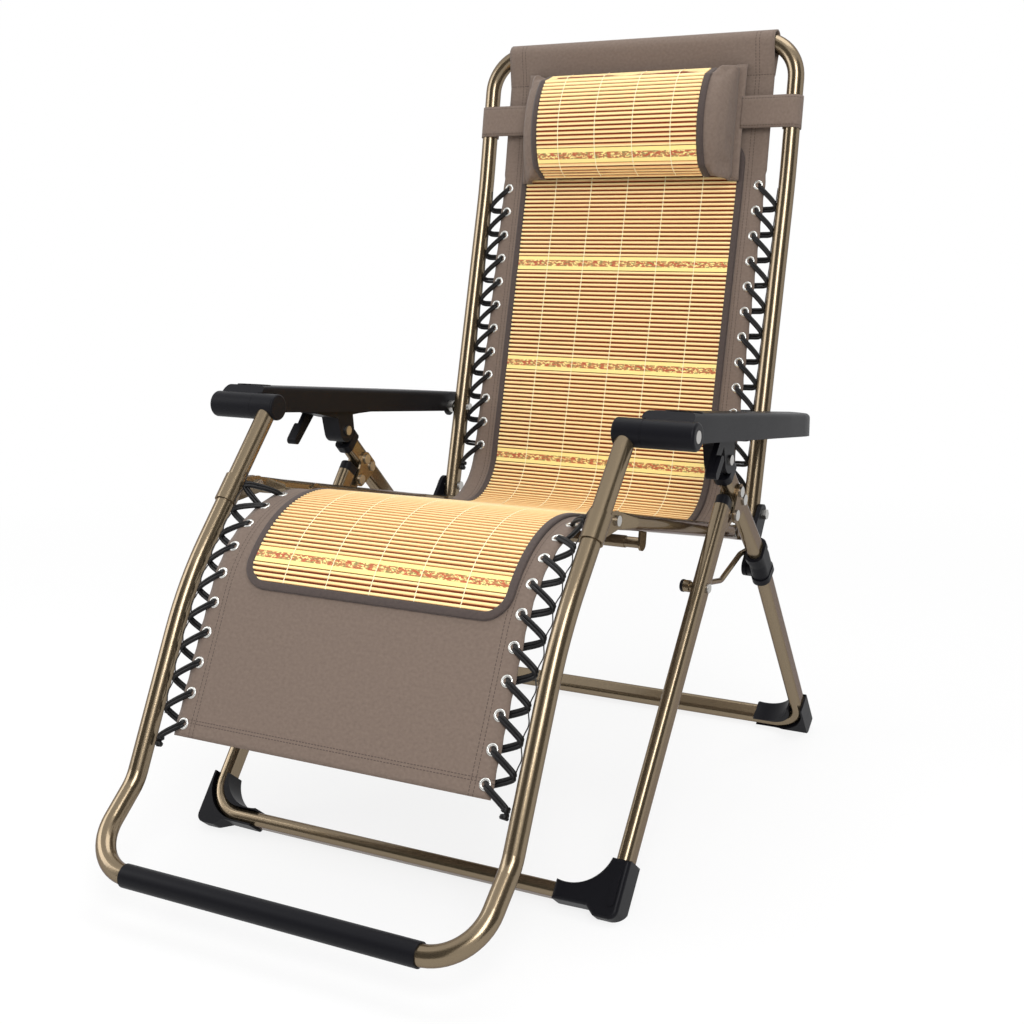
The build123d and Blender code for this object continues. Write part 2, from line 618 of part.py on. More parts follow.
def panels(lift, half, thick, top, bottom):
    """Back, seat and leg panels of one fabric layer."""
    line = layer([back_top, back_bend, hip, knee, hem], lift)
    top_at = ahead(line[0], unit(line[0], line[1]), top)
    low_at = ahead(line[2], down_back, -hip_reach - seam)
    back = FilletPolyline(*[spot(0, p) for p in (top_at, line[1], low_at)], radius=back_bend_radius)
    turns = [hip_radius - lift, knee_radius + lift]
    knee_turn = FilletPolyline(*[spot(0, p) for p in line[1:]], radius=turns)
    arcs = knee_turn.edges()
    hip_arc, seat_run, knee_arc, shin_run = arcs[1], arcs[2], arcs[3], arcs[4]
    seat = Wire([hip_arc.trim(seam / hip_arc.length, 1), seat_run.trim(0, 1 - seam / seat_run.length)])
    last = (line[4][1] - bottom) / (line[4][1] - (shin_run @ 0).Z)
    shin = Wire([knee_arc, shin_run.trim(0, 1 - last)]) if abs(last) > 1e-6 else Wire([knee_arc, shin_run])
    return [cloth(w, half, thick) for w in (back, seat, shin)]


sling_back, sling_seat, sling_leg = panels(0, sling_half, sling_thick, 28, hem[1])
pocket_half = back_half - back_corner - 1
pocket = pin(-pocket_half, pocket_half, back_top, tube_dia + 5)
pocket_low = lean_plane(step(back_top, back_top_lean, -21), back_top_lean)
pocket += pocket_low * Box(2 * pocket_half, 18, sling_thick)
pocket -= pin(-back_half, back_half, back_top, tube_dia + 2 * run_gap)
save("sling_back", sling_back + pocket)
save("sling_seat", sling_seat)
save("sling_leg", sling_leg)
mat_lift = sling_thick / 2 + run_gap + mat_thick / 2
mat_back, mat_seat, mat_leg = panels(mat_lift, mat_half, mat_thick, mat_top_down, mat_end_z)
save("mat_back", mat_back)
save("mat_seat", mat_seat)
save("mat_leg", mat_leg)


# Eyelets and lacing
def frame_on(point, way, x):
    """Plane on the fabric's front face at a side line point."""
    face = front_of(way)
    return Plane(spot(x, point), x_dir=(1, 0, 0), z_dir=(0, face[0], face[1]))


def eyelet(point, way, x):
    ring = RegularPolygon(eyelet_dia / 2, 10) - RegularPolygon(eyelet_dia / 4, 10)
    return extrude(frame_on(point, way, x).offset(sling_thick / 2 + 0.1) * ring, amount=1.2)


def lace(holes, hooks, x_hook, lift):
    """Cord run from eyelet to frame and back, in front of the fabric."""
    points = []
    for i, (point, way) in enumerate(holes):
        face = front_of(way)
        points.append((eyelet_at - 2, *ahead(point, face, lift)))
        if i < len(hooks):
            points.append((x_hook, *ahead(hooks[i], face, lift + 4)))
    path = FilletPolyline(*points, radius=4.5)
    return sweep(Plane(path @ 0, z_dir=path % 0) * Rectangle(lace_dia, lace_dia), path)


lace_lift = sling_thick / 2 + 1.3 + lace_dia / 2


def row(fabric, tube, first, count):
    """Eyelet places on the fabric's side line, and cord turns on the tube between them."""
    holes, hooks = [], []
    for i in range(count):
        place = (first + lace_pitch * i) / fabric.length
        here, way = fabric.position_at(place), fabric.tangent_at(place)
        holes.append(((here.Y, here.Z), (-way.Y, -way.Z)))
        turn = tube.position_at((first + lace_pitch * (i + 0.5)) / tube.length)
        hooks.append((turn.Y, turn.Z))
    return holes, hooks[:-1]


back_side = FilletPolyline(*[spot(0, p) for p in (back_pivot, back_bend, back_top)], radius=back_bend_radius)
back_holes, back_hooks = row(back_side, back_side, back_first_up, back_eyelets)
shin_line = FilletPolyline(*[spot(0, p) for p in (hem, knee, hip)], radius=knee_radius)
shin_side = Wire(shin_line.edges()[:2])
tube_side = FilletPolyline(*[spot(0, p) for p in (hem, leg_bend, arm_pivot)], radius=leg_bend_radius)
leg_holes, leg_hooks = row(shin_side, tube_side, leg_first_up, leg_eyelets)
save("eyelets_back", *[half for p, w in back_holes for half in both(eyelet(p, w, eyelet_at))])
save("eyelets_leg", *[half for p, w in leg_holes for half in both(eyelet(p, w, eyelet_at))])
save_pair("lacing_back", lace(back_holes, back_hooks, back_half - tube_r - 4, lace_lift))
save_pair("lacing_leg", lace(leg_holes, leg_hooks, leg_rest_half - tube_r - 7, lace_lift + 1))

# Head pillow, strapped to the back frame so that it slides along it
pillow_at = step(back_bend, back_top_lean, pillow_up)
pillow_face = frame_on(pillow_at, (-sin(radians(back_top_lean)), -cos(radians(back_top_lean))), 0)
rest_at = sling_thick / 2 + mat_thick + 2 * run_gap


def pillow_section(x, high, deep, edge):
    rise, run = pillow_bevel
    low = [(rest_at + edge, -high / 2), (rest_at + rise, -high / 2), (rest_at, run - high / 2)]
    rim = Polyline(*low, *[(deep_at, -up) for deep_at, up in reversed(low)])
    crown = ThreePointArc((rest_at + edge, high / 2), (rest_at + deep, 0), (rest_at + edge, -high / 2))
    side = Plane(pillow_face.origin + Vector(x, 0, 0), x_dir=pillow_face.z_dir, z_dir=(1, 0, 0))
    return side * make_face(rim + crown)


stations = [(pillow_end, pillow_high - 8, 26, 10), (pillow_half, pillow_high, pillow_deep - 6, 16),
            (pillow_half / 2, pillow_high - 4, pillow_deep, 14)]
sections = [pillow_section(-x, *form) for x, *form in stations]
sections += [pillow_section(x, *form) for x, *form in reversed(stations)]
save("pillow", loft(sections, ruled=True))
strap_in = tube_r + run_gap
strap_up = up_line(back_top_lean).direction
strap_plane = Plane(pillow_face.origin + strap_up * strap_lift, x_dir=(1, 0, 0), z_dir=strap_up)
loop = Pos(back_half, 0) * (Circle(strap_in + strap_thick) - Circle(strap_in))
strap_root = pillow_end + run_gap
strap_run = Rectangle(back_half - strap_root, strap_thick)
strap_run = Pos((strap_root + back_half) / 2, -strap_in - strap_thick / 2) * strap_run
strap = extrude(strap_plane * (loop + strap_run), amount=strap_wide / 2, both=True)
save_pair("pillow_strap", strap)
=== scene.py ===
import bisect
import json
import math

import bmesh
import bpy
from mathutils import Matrix, Vector
from mathutils.bvhtree import BVHTree


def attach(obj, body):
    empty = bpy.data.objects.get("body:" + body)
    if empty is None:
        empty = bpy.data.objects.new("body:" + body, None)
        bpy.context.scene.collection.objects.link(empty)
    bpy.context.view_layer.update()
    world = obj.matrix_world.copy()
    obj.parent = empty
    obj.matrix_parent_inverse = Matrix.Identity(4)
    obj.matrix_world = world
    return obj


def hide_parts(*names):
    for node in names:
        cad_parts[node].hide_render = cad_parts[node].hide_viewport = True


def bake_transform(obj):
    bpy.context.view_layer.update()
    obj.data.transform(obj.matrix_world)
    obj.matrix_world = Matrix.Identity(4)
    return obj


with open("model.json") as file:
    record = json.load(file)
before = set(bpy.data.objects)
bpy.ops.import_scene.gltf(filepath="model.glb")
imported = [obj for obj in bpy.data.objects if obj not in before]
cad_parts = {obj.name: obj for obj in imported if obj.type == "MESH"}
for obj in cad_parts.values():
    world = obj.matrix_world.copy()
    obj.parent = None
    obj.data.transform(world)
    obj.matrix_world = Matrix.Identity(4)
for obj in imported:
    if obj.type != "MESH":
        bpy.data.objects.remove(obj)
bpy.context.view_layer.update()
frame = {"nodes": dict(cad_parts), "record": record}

nodes = frame["nodes"]
scene = bpy.context.scene

# The chair's side line, in metres as (y, z), from the back's top bar to the sling's hem
chairLine = {
    "backPivot": (0.351, 0.388),
    "backLean": 14.3,
    "backBendUp": 0.5046,
    "topLean": 9.9,
    "topUp": 0.2182,
    "hip": (0.345, 0.3605),
    "knee": (-0.2529, 0.4908),
    "armPivot": (-0.1275, 0.575),
    "legLean": 41.83,
    "legBendDown": 0.2787,
    "shinLean": 26.5,
    "hemZ": 0.195,
    "seatSplit": 0.13,
    "backRound": 0.9,
    "hipRound": 0.088,
    "kneeRound": 0.18,
    "legRound": 0.48,
    "backPlane": 0.262,
    "legPlane": 0.269,
    "tubeRadius": 0.0125,
}


# Lines and laying out
def leanStep(point, degrees, distance):  # the lean is from upright, towards the rear
    lean = math.radians(degrees)
    return point + Vector((math.sin(lean), math.cos(lean))) * distance


def roundedLine(points, radii, spacing=0.003):  # corners become arcs
    line = [points[0]]
    for before, corner, after, radius in zip(points, points[1:], points[2:], radii):
        wayIn = (corner - before).normalized()
        wayOut = (after - corner).normalized()
        turn = math.atan2(wayIn.x * wayOut.y - wayIn.y * wayOut.x, wayIn.dot(wayOut))
        start = corner - wayIn * radius * math.tan(abs(turn) / 2)
        arm = Vector((wayIn.y, -wayIn.x)) * math.copysign(radius, turn)
        count = max(4, math.ceil(radius * abs(turn) / spacing))
        for step in range(count + 1):
            line.append(start - arm + Matrix.Rotation(turn * step / count, 2) @ arm)
    line.append(points[-1])
    return line


def follow(line, ease=0.0025):  # place and heading at a distance along the line
    reach = [0.0]
    for a, b in zip(line, line[1:]):
        reach.append(reach[-1] + (b - a).length)

    def spotAt(distance):
        i = min(max(bisect.bisect_right(reach, distance) - 1, 0), len(line) - 2)
        return line[i] + (line[i + 1] - line[i]).normalized() * (distance - reach[i])

    def at(distance):
        return spotAt(distance), (spotAt(distance + ease) - spotAt(distance - ease)).normalized()

    return at, reach[-1]


backPivot = Vector(chairLine["backPivot"])
backBend = leanStep(backPivot, chairLine["backLean"], chairLine["backBendUp"])
backTop = leanStep(backBend, chairLine["topLean"], chairLine["topUp"])
armPivot = Vector(chairLine["armPivot"])
legBend = leanStep(armPivot, chairLine["legLean"], -chairLine["legBendDown"])
shinDrop = (legBend.y - chairLine["hemZ"]) / math.cos(math.radians(chairLine["shinLean"]))
hem = leanStep(legBend, chairLine["shinLean"], -shinDrop)
hip = Vector(chairLine["hip"])
knee = Vector(chairLine["knee"])
sideRadii = [chairLine["backRound"], chairLine["hipRound"], chairLine["kneeRound"]]
sideLine = roundedLine([backTop, backBend, hip, knee, hem], sideRadii)
sideAt, sideLength = follow(sideLine)
tubeLine = roundedLine([hem, legBend, armPivot], [chairLine["legRound"]])
tubeAt = follow(tubeLine)[0]


def place(at, x, distance, height):  # across, along, and out of the front face
    spot, way = at(distance)
    return Vector((x, spot.x + way.y * height, spot.y - way.x * height))


def alongTo(test, step=0.0005):  # first distance along the side line where the test holds
    distance = 0.0
    while not test(*sideAt(distance)[0]):
        distance += step
    return distance


def flatStrip(x0, x1, s0, s1, xCuts, sCuts):  # flat cloth: x across, y along
    bm = bmesh.new()
    bmesh.ops.create_grid(bm, x_segments=xCuts, y_segments=sCuts, size=0.5)
    bmesh.ops.scale(bm, vec=(x1 - x0, s1 - s0, 1), verts=bm.verts)
    bmesh.ops.translate(bm, vec=((x0 + x1) / 2, (s0 + s1) / 2, 0), verts=bm.verts)
    return bm


def keepFlatMap(bm):  # the flat pattern, in metres, becomes the UV map
    uv = bm.loops.layers.uv.new("flat")
    for face in bm.faces:
        for loop in face.loops:
            loop[uv].uv = loop.vert.co.xy


def sliceAlong(bm, s0, s1, step):  # cuts across, so that a flat form can bend
    count = max(1, round((s1 - s0) / step))
    for i in range(1, count):
        cut = (0, s0 + (s1 - s0) * i / count, 0)
        geom = bm.verts[:] + bm.edges[:] + bm.faces[:]
        bmesh.ops.bisect_plane(bm, geom=geom, plane_co=cut, plane_no=(0, 1, 0), dist=1e-6)


def keepPart(bm, s0, s1):  # the part of a flat form between two distances
    for cut, outer, inner in ((s0, False, True), (s1, True, False)):
        geom = bm.verts[:] + bm.edges[:] + bm.faces[:]
        bmesh.ops.bisect_plane(bm, geom=geom, plane_co=(0, cut, 0), plane_no=(0, 1, 0), dist=1e-6,
                               clear_outer=outer, clear_inner=inner)


def lay(bm, at):  # a flat form bent onto a line
    for vert in bm.verts:
        vert.co = place(at, *vert.co)


def addForm(bm, form):  # takes a second form up into the first
    mesh = bpy.data.meshes.new("form")
    form.to_mesh(mesh)
    form.free()
    bm.from_mesh(mesh)
    bpy.data.meshes.remove(mesh)


def makePiece(name, bm, finish, smooth=True, recalc=True):
    if recalc:
        bmesh.ops.recalc_face_normals(bm, faces=bm.faces)
    mesh = bpy.data.meshes.new(name)
    bm.to_mesh(mesh)
    bm.free()
    piece = bpy.data.objects.new(name, mesh)
    scene.collection.objects.link(piece)
    mesh.materials.append(finish)
    mesh.polygons.foreach_set("use_smooth", [smooth] * len(mesh.polygons))
    return piece


def thicken(piece, thick, offset=0.0):
    shell = piece.modifiers.new("thickness", "SOLIDIFY")
    shell.thickness = thick
    shell.offset = offset
    return piece


def soften(piece, levels=1):
    sub = piece.modifiers.new("soft", "SUBSURF")
    sub.levels = levels
    sub.render_levels = levels
    return piece


# Finishes
def shade(*screen):  # a colour given as screen values, 0 to 255
    linear = [c / 255 / 12.92 if c <= 10 else ((c / 255 + 0.055) / 1.055) ** 2.4 for c in screen]
    return (*linear, 1.0)


def newFinish(name, colour, roughness, metallic=0.0, **sockets):
    finish = bpy.data.materials.new(name)
    finish.use_nodes = True
    surface = finish.node_tree.nodes["Principled BSDF"]
    surface.inputs["Base Color"].default_value = colour
    surface.inputs["Roughness"].default_value = roughness
    surface.inputs["Metallic"].default_value = metallic
    for socket, value in sockets.items():
        surface.inputs[socket].default_value = value
    return finish, surface


def addNode(tree, kind, inputs=None, **settings):
    node = tree.nodes.new(kind)
    for key, value in settings.items():
        setattr(node, key, value)
    for key, value in (inputs or {}).items():
        if hasattr(value, "is_output"):
            tree.links.new(value, node.inputs[key])
        else:
            node.inputs[key].default_value = value
    return node


def maths(tree, operation, a, b=0.0, c=0.0, clamp=False):
    inputs = {0: a, 1: b, 2: c}
    return addNode(tree, "ShaderNodeMath", inputs, operation=operation, use_clamp=clamp).outputs[0]


def mixColour(tree, factor, a, b, blend="MIX"):
    node = addNode(tree, "ShaderNodeMix", {0: factor, 6: a, 7: b}, data_type="RGBA", blend_type=blend)
    return node.outputs[2]


def addBump(tree, surface, height, strength, distance):
    bump = addNode(tree, "ShaderNodeBump", {"Height": height, "Strength": strength, "Distance": distance})
    tree.links.new(bump.outputs["Normal"], surface.inputs["Normal"])


def newGroup(name, inputs, outputs):
    group = bpy.data.node_groups.new(name, "ShaderNodeTree")
    for label, kind, value in inputs:
        socket = group.interface.new_socket(label, in_out="INPUT", socket_type=kind)
        if value is not None:
            socket.default_value = value
    for label, kind in outputs:
        group.interface.new_socket(label, in_out="OUTPUT", socket_type=kind)
    start = group.nodes.new("NodeGroupInput")
    end = group.nodes.new("NodeGroupOutput")
    return group, start.outputs, end.inputs


def buildWeave():  # over and under threads of a canvas
    group, given, out = newGroup(
        "canvasWeave",
        [("Vector", "NodeSocketVector", None), ("Threads", "NodeSocketFloat", 900.0)],
        [("Height", "NodeSocketFloat"), ("Slub", "NodeSocketFloat")],
    )
    split = addNode(group, "ShaderNodeSeparateXYZ", {0: given["Vector"]})
    warp = maths(group, "SINE", maths(group, "MULTIPLY", split.outputs[0], given["Threads"]))
    weft = maths(group, "SINE", maths(group, "MULTIPLY", split.outputs[1], given["Threads"]))
    cross = maths(group, "MULTIPLY", warp, weft)
    group.links.new(maths(group, "MULTIPLY_ADD", cross, 0.5, 0.5), out["Height"])
    stretched = addNode(group, "ShaderNodeMapping", {"Vector": given["Vector"], "Scale": (210, 260, 210)})
    slub = addNode(group, "ShaderNodeTexNoise", {"Vector": stretched.outputs[0], "Scale": 1.0, "Detail": 2.0})
    group.links.new(slub.outputs[0], out["Slub"])
    return group


def buildMottle():  # slow and fine change over a painted or moulded surface
    group, given, out = newGroup(
        "surfaceMottle",
        [("Vector", "NodeSocketVector", None), ("Fine", "NodeSocketFloat", 900.0)],
        [("Slow", "NodeSocketFloat"), ("Grain", "NodeSocketFloat")],
    )
    slow = addNode(group, "ShaderNodeTexNoise", {"Vector": given["Vector"], "Scale": 9.0, "Detail": 3.0})
    fine = addNode(group, "ShaderNodeTexNoise",
                   {"Vector": given["Vector"], "Scale": given["Fine"], "Detail": 2.0})
    group.links.new(slow.outputs[0], out["Slow"])
    group.links.new(fine.outputs[0], out["Grain"])
    return group


weaveGroup = buildWeave()
mottleGroup = buildMottle()


def useGroup(tree, group, **inputs):
    return addNode(tree, "ShaderNodeGroup", inputs, node_tree=group).outputs


def objectSpace(tree):
    return addNode(tree, "ShaderNodeTexCoord").outputs["Object"]


def flatSpace(tree):
    return addNode(tree, "ShaderNodeUVMap", uv_map="flat").outputs[0]


def mottled(name, colour, roughness, metallic, fine, spread, grain, **sockets):
    finish, surface = newFinish(name, colour, roughness, metallic, **sockets)
    tree = finish.node_tree
    mottle = useGroup(tree, mottleGroup, Vector=objectSpace(tree), Fine=fine)
    low = maths(tree, "MULTIPLY_ADD", mottle["Slow"], spread, roughness - spread / 2)
    tree.links.new(maths(tree, "MULTIPLY_ADD", mottle["Grain"], spread, low), surface.inputs["Roughness"])
    addBump(tree, surface, mottle["Grain"], grain, 0.0002)
    return finish


bronze = mottled("bronzeTube", shade(128, 113, 91), 0.2, 0.85, 1400.0, 0.05, 0.02,
                 **{"Specular Tint": shade(126, 112, 98), "Coat Weight": 0.4, "Coat Roughness": 0.08})
zinc = mottled("zincSteel", shade(176, 174, 170), 0.3, 1.0, 900.0, 0.06, 0.05)
moulding = mottled("blackMoulding", shade(19, 19, 23), 0.38, 0.0, 700.0, 0.1, 0.12,
                   **{"Specular IOR Level": 0.1})
elastic = mottled("elasticCord", shade(18, 17, 18), 0.4, 0.0, 1800.0, 0.1, 0.2,
                  **{"Specular IOR Level": 0.25})
darkWire = mottled("darkWire", shade(44, 42, 42), 0.4, 0.6, 900.0, 0.05, 0.1)
eyeletMetal = mottled("eyeletMetal", shade(226, 226, 222), 0.25, 0.85, 900.0, 0.06, 0.03)

canvasLook = {
    "colour": shade(118, 103, 93),
    "light": shade(126, 110, 99),
    "dark": shade(102, 88, 79),
    "stitch": shade(84, 71, 64),
    "threads": 3600.0,
    "seams": (0.1985, 0.2045),
    "stitchLength": 0.0045,
    "stitchShare": 0.68,
    "stitchHalf": 0.0006,
}


def dashes(tree, along):  # stitches with a gap after each
    phase = maths(tree, "FRACT", maths(tree, "DIVIDE", along, canvasLook["stitchLength"]))
    return maths(tree, "LESS_THAN", phase, canvasLook["stitchShare"])


def lineMask(tree, value, at, half):  # 1 within half of the given place
    return maths(tree, "LESS_THAN", maths(tree, "ABSOLUTE", maths(tree, "SUBTRACT", value, at)), half)


def canvas(name, across=(), along=(), space=flatSpace):  # with stitched lines at the given places
    finish, surface = newFinish(name, canvasLook["colour"], 0.85,
                                **{"Sheen Weight": 0.1, "Specular IOR Level": 0.25})
    tree = finish.node_tree
    vector = space(tree)
    weave = useGroup(tree, weaveGroup, Vector=vector, Threads=canvasLook["threads"])
    colour = mixColour(tree, weave["Slub"], canvasLook["dark"], canvasLook["light"])
    split = addNode(tree, "ShaderNodeSeparateXYZ", {0: vector})
    x, y = split.outputs[0], split.outputs[1]
    side = maths(tree, "ABSOLUTE", x)
    lines = [(side, at, y) for at in across] + [(y, at, x) for at in along]
    marks = 0.0
    for value, at, run in lines:
        line = lineMask(tree, value, at, canvasLook["stitchHalf"])
        marks = maths(tree, "MAXIMUM", maths(tree, "MULTIPLY", line, dashes(tree, run)), marks)
    height = weave["Height"]
    if lines:
        colour = mixColour(tree, marks, colour, canvasLook["stitch"])
        height = maths(tree, "SUBTRACT", weave["Height"], maths(tree, "MULTIPLY", marks, 2.0))
    tree.links.new(colour, surface.inputs["Base Color"])
    addBump(tree, surface, height, 0.35, 0.0004)
    return finish


bamboo = {
    "pitch": 0.0067,
    "wide": 0.0039,
    "round": 0.0011,
    "light": shade(254, 233, 172),
    "deep": shade(246, 214, 150),
    # painted shade: darker orange for the shaded underside of each rounded slat
    "under": shade(226, 152, 96),
    # partly painted shade: the backing's own red-brown, darkened for the shade in the gaps between slats
    "backing": shade(120, 48, 23),
    "thread": shade(252, 240, 200),
    "band": shade(252, 230, 150),
    "red": shade(188, 84, 58),
    "green": shade(136, 128, 78),
    "brown": shade(150, 92, 56),
    "flecks": {"brown": ((150, 300, 1), 0.5), "green": ((210, 380, 1), 0.56), "red": ((120, 330, 1), 0.54)},
    "fleckShare": 0.8,
    "printHalf": 0.005,
    "stemPitch": 0.019,
    "stemSwing": 0.0032,
    "stemHalf": 0.0007,
    "stemShare": 0.75,
    "binding": shade(72, 60, 56),
    "bindingDark": shade(54, 44, 41),
    "bindingLight": shade(76, 63, 58),
    "bindingThreads": 4200.0,
}


def slatFinish(name):  # the map counts slats along, each from 0 to 1 across its width
    finish, surface = newFinish(name, bamboo["light"], 0.42, **{"Specular IOR Level": 0.3})
    tree = finish.node_tree
    vector = flatSpace(tree)
    split = addNode(tree, "ShaderNodeSeparateXYZ", {0: vector})
    number = maths(tree, "FLOOR", split.outputs[1])
    own = addNode(tree, "ShaderNodeTexWhiteNoise", {"W": number}, noise_dimensions="1D")
    fibre = addNode(tree, "ShaderNodeMapping", {"Vector": vector, "Scale": (14, 5, 1)})
    streak = addNode(tree, "ShaderNodeTexNoise", {"Vector": fibre.outputs[0], "Scale": 1.0, "Detail": 3.0})
    tone = maths(tree, "MULTIPLY_ADD", own.outputs[0], 0.4, maths(tree, "MULTIPLY", streak.outputs[0], 0.6))
    colour = mixColour(tree, tone, bamboo["light"], bamboo["deep"])
    # painted shade: the lower part of each slat's width is mixed towards the darker orange
    low = addNode(tree, "ShaderNodeMapRange", {0: maths(tree, "FRACT", split.outputs[1]), 1: 0.6, 2: 1.05})
    colour = mixColour(tree, maths(tree, "MULTIPLY", low.outputs[0], 0.8), colour, bamboo["under"])
    tree.links.new(colour, surface.inputs["Base Color"])
    addBump(tree, surface, streak.outputs[0], 0.15, 0.0003)
    return finish


def bandFinish(name):  # pale strip with a printed border of small scrolls and flecks
    finish, surface = newFinish(name, bamboo["band"], 0.42, **{"Specular IOR Level": 0.3})
    tree = finish.node_tree
    vector = flatSpace(tree)
    split = addNode(tree, "ShaderNodeSeparateXYZ", {0: vector})
    across, up = split.outputs[0], split.outputs[1]
    printed = lineMask(tree, up, 0.0, bamboo["printHalf"])
    colour = bamboo["band"]
    for tone, (scale, level) in bamboo["flecks"].items():
        ownStretch = (level * 90, 0, 0)  # so that the colours don't fall on each other
        spread = addNode(tree, "ShaderNodeMapping", {"Vector": vector, "Scale": scale, "Location": ownStretch})
        flecks = addNode(tree, "ShaderNodeTexNoise", {"Vector": spread.outputs[0], "Scale": 1.0, "Detail": 1.0})
        mark = maths(tree, "MULTIPLY", maths(tree, "GREATER_THAN", flecks.outputs[0], level), printed)
        colour = mixColour(tree, maths(tree, "MULTIPLY", mark, bamboo["fleckShare"]), colour, bamboo[tone])
    turn = maths(tree, "MULTIPLY", across, 2 * math.pi / bamboo["stemPitch"])
    stem = maths(tree, "MULTIPLY", maths(tree, "SINE", turn), bamboo["stemSwing"])
    line = lineMask(tree, maths(tree, "SUBTRACT", up, stem), 0.0, bamboo["stemHalf"])
    colour = mixColour(tree, maths(tree, "MULTIPLY", line, bamboo["stemShare"]), colour, bamboo["red"])
    tree.links.new(colour, surface.inputs["Base Color"])
    return finish


slats = slatFinish("bambooSlats")
bandPrint = bandFinish("bambooBand")
threadLight = mottled("lightThread", bamboo["thread"], 0.8, 0.0, 1500.0, 0.1, 0.3)
matBacking = mottled("matBacking", bamboo["backing"], 0.85, 0.0, 1200.0, 0.1, 0.4)


def bindingFinish(name):
    finish, surface = newFinish(name, bamboo["binding"], 0.8, **{"Sheen Weight": 0.1})
    tree = finish.node_tree
    weave = useGroup(tree, weaveGroup, Vector=flatSpace(tree), Threads=bamboo["bindingThreads"])
    colour = mixColour(tree, weave["Slub"], bamboo["bindingDark"], bamboo["bindingLight"])
    tree.links.new(colour, surface.inputs["Base Color"])
    addBump(tree, surface, weave["Height"], 0.3, 0.0003)
    return finish


binding = bindingFinish("darkBinding")

# Rigid pieces keep their solids and get a finish by their slot
slotFinishes = {"bronze_tube": bronze, "steel": zinc, "black_plastic": moulding,
                "elastic_cord": elastic, "eyelet_metal": eyeletMetal}
for subpart in frame["record"]["subparts"]:
    finish = slotFinishes.get(subpart["material_slot"])
    if finish:
        mesh = nodes[subpart["node"]].data
        mesh.materials.clear()
        mesh.materials.append(finish)
print("finishes set on the rigid pieces")

# Place along the line where the sling and the mat are cut in two
seatMiddle = alongTo(lambda y, z: y < chairLine["seatSplit"])

# Sling: two laced panels that meet on the seat, the upper with a pocket over the top bar
sling = {
    "half": 0.228,
    "thick": 0.0022,
    "pocketSeam": 0.054,
    "pocketRound": 0.0143,
    "pocketSteps": 24,
    "seamUp": 0.002,
    "hemSeams": (0.018, 0.022),
    "scallop": 0.0014,
    "step": 0.006,
    "cutsAcross": 46,
    "eyeletIn": 0.011,
    "eyelets": {"back": (0.071, 12), "leg": (0.016, 10)},
    "pitch": 0.0392,
}


def pocketLine():  # up behind the bar, over it and down in front to the seam
    down = sideAt(0.0)[1]
    front = Vector((down.y, -down.x))
    opening = math.acos(sling["pocketRound"] / sling["pocketSeam"])
    points = [backTop + down * sling["pocketSeam"] - front * sling["thick"]]
    for i in range(sling["pocketSteps"] + 1):
        angle = -opening - (2 * math.pi - 2 * opening) * i / sling["pocketSteps"]
        out = down * math.cos(angle) + front * math.sin(angle)
        points.append(backTop + out * sling["pocketRound"])
    return points


slingLine = pocketLine() + [sideAt(sling["pocketSeam"])[0]]
for point in sideLine:
    if (point - backTop).length > sling["pocketSeam"] + 0.001:
        slingLine.append(point)
slingAt, slingLength = follow(slingLine)
pocketExtra = slingLength - sideLength
backReach = (backBend - backPivot).length + (backTop - backBend).length


def eyeletPlaces(part):
    first, count = sling["eyelets"][part]
    end = backReach if part == "back" else sideLength
    return [end - first - sling["pitch"] * i for i in range(count)]


def slingEdge(distance):  # the edge is drawn out at each eyelet
    phase = 0.0
    for part in sling["eyelets"]:
        places = eyeletPlaces(part)
        if places[-1] - sling["pitch"] / 2 < distance < places[0] + sling["pitch"] / 2:
            phase = (1 - math.cos(2 * math.pi * (distance - places[0]) / sling["pitch"])) / 2
    return sling["half"] - sling["scallop"] * phase


def makeSling(name, s0, s1):
    rows = round((s1 - s0) / sling["step"])
    bm = flatStrip(-sling["half"], sling["half"], s0, s1, sling["cutsAcross"], rows)
    keepFlatMap(bm)
    for vert in bm.verts:
        if abs(vert.co.x) > sling["half"] - 1e-5:
            vert.co.x = math.copysign(slingEdge(vert.co.y - pocketExtra), vert.co.x)
    lay(bm, slingAt)
    seams = [pocketExtra - sling["seamUp"] + sling["pocketSeam"]]
    seams += [slingLength - up for up in sling["hemSeams"]]
    piece = makePiece(name, bm, canvas(name + "Canvas", canvasLook["seams"], seams), recalc=False)
    thicken(piece, sling["thick"])
    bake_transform(piece)
    return piece


slingSplit = seatMiddle + pocketExtra
slingUpper = makeSling("slingUpper", 0.0, slingSplit)
slingLower = makeSling("slingLower", slingSplit, slingLength)
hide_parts("sling_back")
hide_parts("sling_seat", "sling_leg")
print("sling laid, length", round(slingLength, 3))

# Eyelets: pressed rings spun from a small rounded section
eyelet = {"outer": 0.0079, "inner": 0.0041, "proud": 0.0011, "flatness": 0.55, "sides": 6, "steps": 20}


